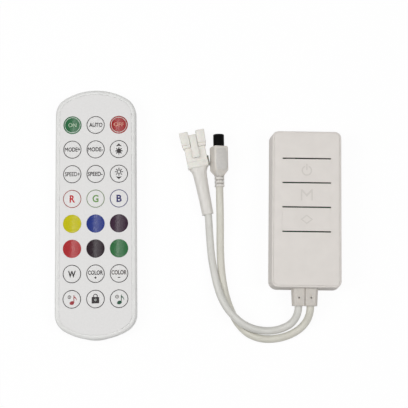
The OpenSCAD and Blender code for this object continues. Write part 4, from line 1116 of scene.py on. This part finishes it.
def note(colour, x, y):
    """A quaver: a tilted head, its stem and its flag."""
    stem_x = x + 1.0
    flag = flat_shape([(stem_x - 0.13, y + 4.1), (stem_x + 0.25, y + 3.4), (stem_x + 1.1, y + 2.6),
                       (stem_x + 1.45, y + 1.7), (stem_x + 1.2, y + 1.0), (stem_x + 1.1, y + 1.9),
                       (stem_x + 0.6, y + 2.4), (stem_x - 0.13, y + 2.9)])
    return [(flat_disc(1.25, x, y, 0.75, 20), colour),
            (stroke((stem_x, y + 0.1), (stem_x, y + 4.0), 0.4), colour), (flag, colour)]


def arrow_head(y, way):
    """A broad triangle with a notched foot, which points up or down."""
    half, tall, notch = 1.65, 0.75, 0.45
    return flat_shape([(-half, y - way * tall), (0, y + way * tall), (half, y - way * tall),
                       (0, y - way * notch)][::way])


def mode_words(rest, x, wide):
    """MODE and a sign, whose M is an outline of its own."""
    m_wide, gap, line = 1.75, 0.22, 0.33
    left = x - wide / 2
    return [(flat_shape(letter_m(m_wide, CAPITAL, line, left + m_wide / 2)), "grey"),
            words(rest, wide - m_wide - gap, x + (m_wide + gap) / 2)]


# The ring round each key is grey where no other is named; on and off have a finer one further in
RING = flat_ring(KEY_D / 2 - 0.03, 0.38)
INNER_RING = flat_ring(4.1, 0.24)
RINGS = {"on": (INNER_RING, "white"), "off": (INNER_RING, "white"), "red": (RING, "rust"),
         "green": (RING, "moss"), "blue": (RING, "violet")}
LEGENDS = {
    "on": [words("ON", 4.2, 0, -0.05, 2.0, 0.01, "pale")],
    "off": [words("OFF", 5.2, 0, 0.1, 2.0, 0.01, "salmon")],
    "auto": [words("AUTO", 7.0, 0.1)],
    "mode_up": mode_words("ODE+", 0, 8.0),
    "mode_down": mode_words("ODE-", -0.15, 7.9),
    "speed_up": [words("SPEED+", 7.8, 0.05, bold=BOLD - 0.03)],
    "speed_down": [words("SPEED-", 7.8, -0.2, bold=BOLD - 0.01)],
    "brighter": [(arrow_head(2.2, 1), "grey"), (flat_disc(1.2, 0.05, -0.95), "grey"),
                 (rays(0.05, -0.95, 1.0, 0.95, 0.5), "grey")],
    "dimmer": [(arrow_head(-2.15, -1), "grey"), (flat_ring(1.15, 0.42, 0.05, 1.0, 32), "grey"),
               (rays(0.05, 1.0, 1.35, 0.75, 0.5), "grey")],
    "red": [words("R", 2.8, 0.1, 0, 3.6, 0.17, "red")],
    "green": [words("G", 3.1, 0, 0, 3.6, 0.13, "leaf")],
    "blue": [words("B", 2.7, 0.1, 0, 3.6, 0.16, "violet")],
    "white": [words("W", 4.0, 0, -0.1, 3.1, 0.17)],
    "colour_up": [words("COLOR", 7.7, 0, 0.55), words("+", None, 0, -2.05, 1.5, 0.12)],
    "colour_down": [words("COLOR", 7.9, 0, 0.55, bold=BOLD + 0.03, colour="soft"),
                    (stroke((-0.7, -2.05), (0.7, -2.05), 0.42), "grey")],
    "sound_one": [(flat_ring(0.9, 0.34, -1.2, 1.1, 24), "soft"),
                  (stroke((-1.2, 0.7), (-1.2, 1.5), 0.28), "soft")] + note("brick", 0.1, -1.9),
    "sound_two": [(flat_ring(0.95, 0.36, -1.05, 1.05, 24), "soft"),
                  (stroke((-1.3, 0.8), (-0.8, 1.35), 0.28), "soft")] + note("forest", 0.15, -1.9),
    "lock": [(flat_shape(rounded(3.8, 3.3, 0.25, 3, y=-0.6)), "grey"),
             (flat_ring(1.15, 0.42, 0, 1.5, 24, 0, 180), "grey"),
             (flat_shape(rectangle(-1.15, -0.73, 0.9, 1.51)), "grey"),
             (flat_shape(rectangle(0.73, 1.15, 0.9, 1.51)), "grey"),
             (flat_ring(0.55, 0.22, 0, -0.45, 24), "white")],
}
for key_number, key_name in enumerate(KEYS):
    if key_name in LEGENDS:
        legend(key_number, key_name, [RINGS.get(key_name, (RING, "grey"))] + LEGENDS[key_name])


def make_tray():
    """The battery drawer: a floor with a round pocket, a front that follows the remote's end,
    and a lip to pull."""
    half = TRAY_W / 2
    front = [(x, y) for x, y, _ in remote_ring(0, 0) if y < 0 and abs(x) < half]
    front.sort()
    edge_y = -ARC_Y - math.sqrt(END_R ** 2 - half ** 2)
    outline = [(-half, edge_y)] + front + [(half, edge_y), (half, TRAY_END), (-half, TRAY_END)]
    plate = softened(prism(outline, TRAY_LOW, TRAY_TOP), TRAY_EDGE, 2)
    pocket_r = CELL_D / 2 + CELL_SLACK
    pocket = turned([(pocket_r, CELL_Z), (pocket_r, TRAY_TOP + OVER)], 96, 0, CELL_Y)
    shares = [k / 8 for k in range(-8, 9)]
    lip = [(LIP_W / 2 * s, -REMOTE_L / 2 - LIP_OUT * (1 - s ** 2) + LIP_IN * s ** 2)
           for s in shares] + [(LIP_W / 2, LIP_BACK), (-LIP_W / 2, LIP_BACK)]
    shells = [cut(plate, [pocket]), softened(prism(lip, TRAY_LOW, LIP_TOP), LIP_EDGE)]
    piece("battery_drawer_tray", shells, "battery_drawer", SHELL_ABS, at_remote,
          stands_for=("battery_tray",))


make_tray()

# Nodes that stay as they are
CARRIED = {
    "bottom_cover": COVER_ABS, "circuit_board": BOARD, "remote_card": BOARD,
    "switch_bodies": SWITCH_NYLON, "power_switch_stem": SWITCH_NYLON,
    "mode_switch_stem": SWITCH_NYLON, "pattern_switch_stem": SWITCH_NYLON,
    "processor_chip": CHIP_EPOXY, "voltage_regulator": CHIP_EPOXY, "remote_chip": CHIP_EPOXY,
    "crystal_can": PLATED_STEEL, "microphone_capsule": PLATED_STEEL,
    "storage_capacitor": CAN_SLEEVE, "lead_wires": LEADS, "contact_pins": TINNED_BRASS,
    "jack_centre_pin": TINNED_BRASS, "jack_spring": TINNED_BRASS, "snap_domes": SPRING_STEEL,
    "battery_contacts": SPRING_STEEL, "coin_cell": CELL_STEEL,
}
for node_name, node_paint in CARRIED.items():
    node_mesh = bpy.data.objects[node_name].data
    if not node_mesh.materials:
        node_mesh.materials.append(node_paint)
    for number in range(len(node_mesh.materials)):
        node_mesh.materials[number] = node_paint


# Floor, lamps and world, with lengths in metres
# How pale the table is to the light that it throws back, and how much of what the camera sees of
# it is plain white
FLOOR_HALF, FLOOR_Z, FLOOR_PALE, FLOOR_WHITE = 1.5, -0.0001, 0.53, 0.93
# How bright the room is to the surfaces that it lights, beside white
ROOM_LIGHT = 0.29


def make_floor():
    """A plain pale table. The camera and the gloss see it white, with faint shadows left."""
    mesh = bpy.data.meshes.new("floor")
    mesh.from_pydata([(x, y, FLOOR_Z) for x, y in rectangle(-FLOOR_HALF, FLOOR_HALF, -FLOOR_HALF,
                                                           FLOOR_HALF)], [], [(0, 1, 2, 3)])
    material, tree, shader = new_material("pale_table")
    seen = seen_ray(tree)
    pale = flow(tree, "ShaderNodeMapRange", {0: seen, 3: FLOOR_PALE, 4: 1.0})
    tree.links.new(pale, shader.inputs["Base Color"])
    shader.inputs["Roughness"].default_value = 0.9
    glow = flow(tree, "ShaderNodeEmission", {"Color": (1, 1, 1, 1), "Strength": 1.0})
    share = flow(tree, "ShaderNodeMath", {0: seen, 1: FLOOR_WHITE}, operation="MULTIPLY")
    mix = flow(tree, "ShaderNodeMixShader", {0: share, 1: shader.outputs[0], 2: glow})
    end = next(n for n in tree.nodes if n.type == "OUTPUT_MATERIAL")
    tree.links.new(mix, end.inputs["Surface"])
    mesh.materials.append(material)
    linked("floor", mesh)


def seen_ray(tree):
    """1 for the rays that show the background: the camera's, gloss and what passes through."""
    rays_of = add(tree, "ShaderNodeLightPath").outputs
    either = flow(tree, "ShaderNodeMath", {0: rays_of["Is Camera Ray"],
                                           1: rays_of["Is Glossy Ray"]}, operation="MAXIMUM")
    return flow(tree, "ShaderNodeMath", {0: either, 1: rays_of["Is Transmission Ray"]},
                operation="MAXIMUM")


def soft_lamp(name, at, aim, width, length, power):
    """A rectangular lamp at one place, aimed at another, with its two sides and its watts."""
    data = bpy.data.lights.new(name, "AREA")
    data.shape = "RECTANGLE"
    data.size, data.size_y = width, length
    data.energy = power
    lamp = linked(name, data)
    ahead = (Vector(aim) - Vector(at)).normalized()
    lamp.matrix_world = (Matrix.Translation(at)
                         @ ahead.to_track_quat("-Z", "Y").to_matrix().to_4x4())


def make_world():
    world = bpy.data.worlds.new("studio")
    bpy.context.scene.world = world
    world.use_nodes = True
    tree = world.node_tree
    tree.nodes.clear()
    level = flow(tree, "ShaderNodeMapRange", {0: seen_ray(tree), 3: ROOM_LIGHT, 4: 1.0})
    glow = flow(tree, "ShaderNodeBackground", {"Color": (1, 1, 1, 1), "Strength": level})
    add(tree, "ShaderNodeOutputWorld", {"Surface": glow})


make_floor()
make_world()
soft_lamp("left_softbox", (-0.85, -0.03, 0.8), (-0.06, 0, 0), 0.5, 0.6, 4.3)
soft_lamp("right_softbox", (0.7, -0.08, 0.95), (-0.04, 0, 0), 0.5, 0.6, 4.3)
# A narrow lamp along the remote, which draws the soft streak down its coloured keys
soft_lamp("streak_lamp", (-0.212, 0.11, 0.9), (-0.212, 0.11, 0), 0.06, 0.7, 1.05)
# A fainter and wider one beside it, which lights the right half of each key's crown
soft_lamp("side_glow_lamp", (-0.112, 0.11, 0.9), (-0.112, 0.11, 0), 0.14, 0.7, 0.8)

bpy.context.scene.view_settings.view_transform = "Standard"
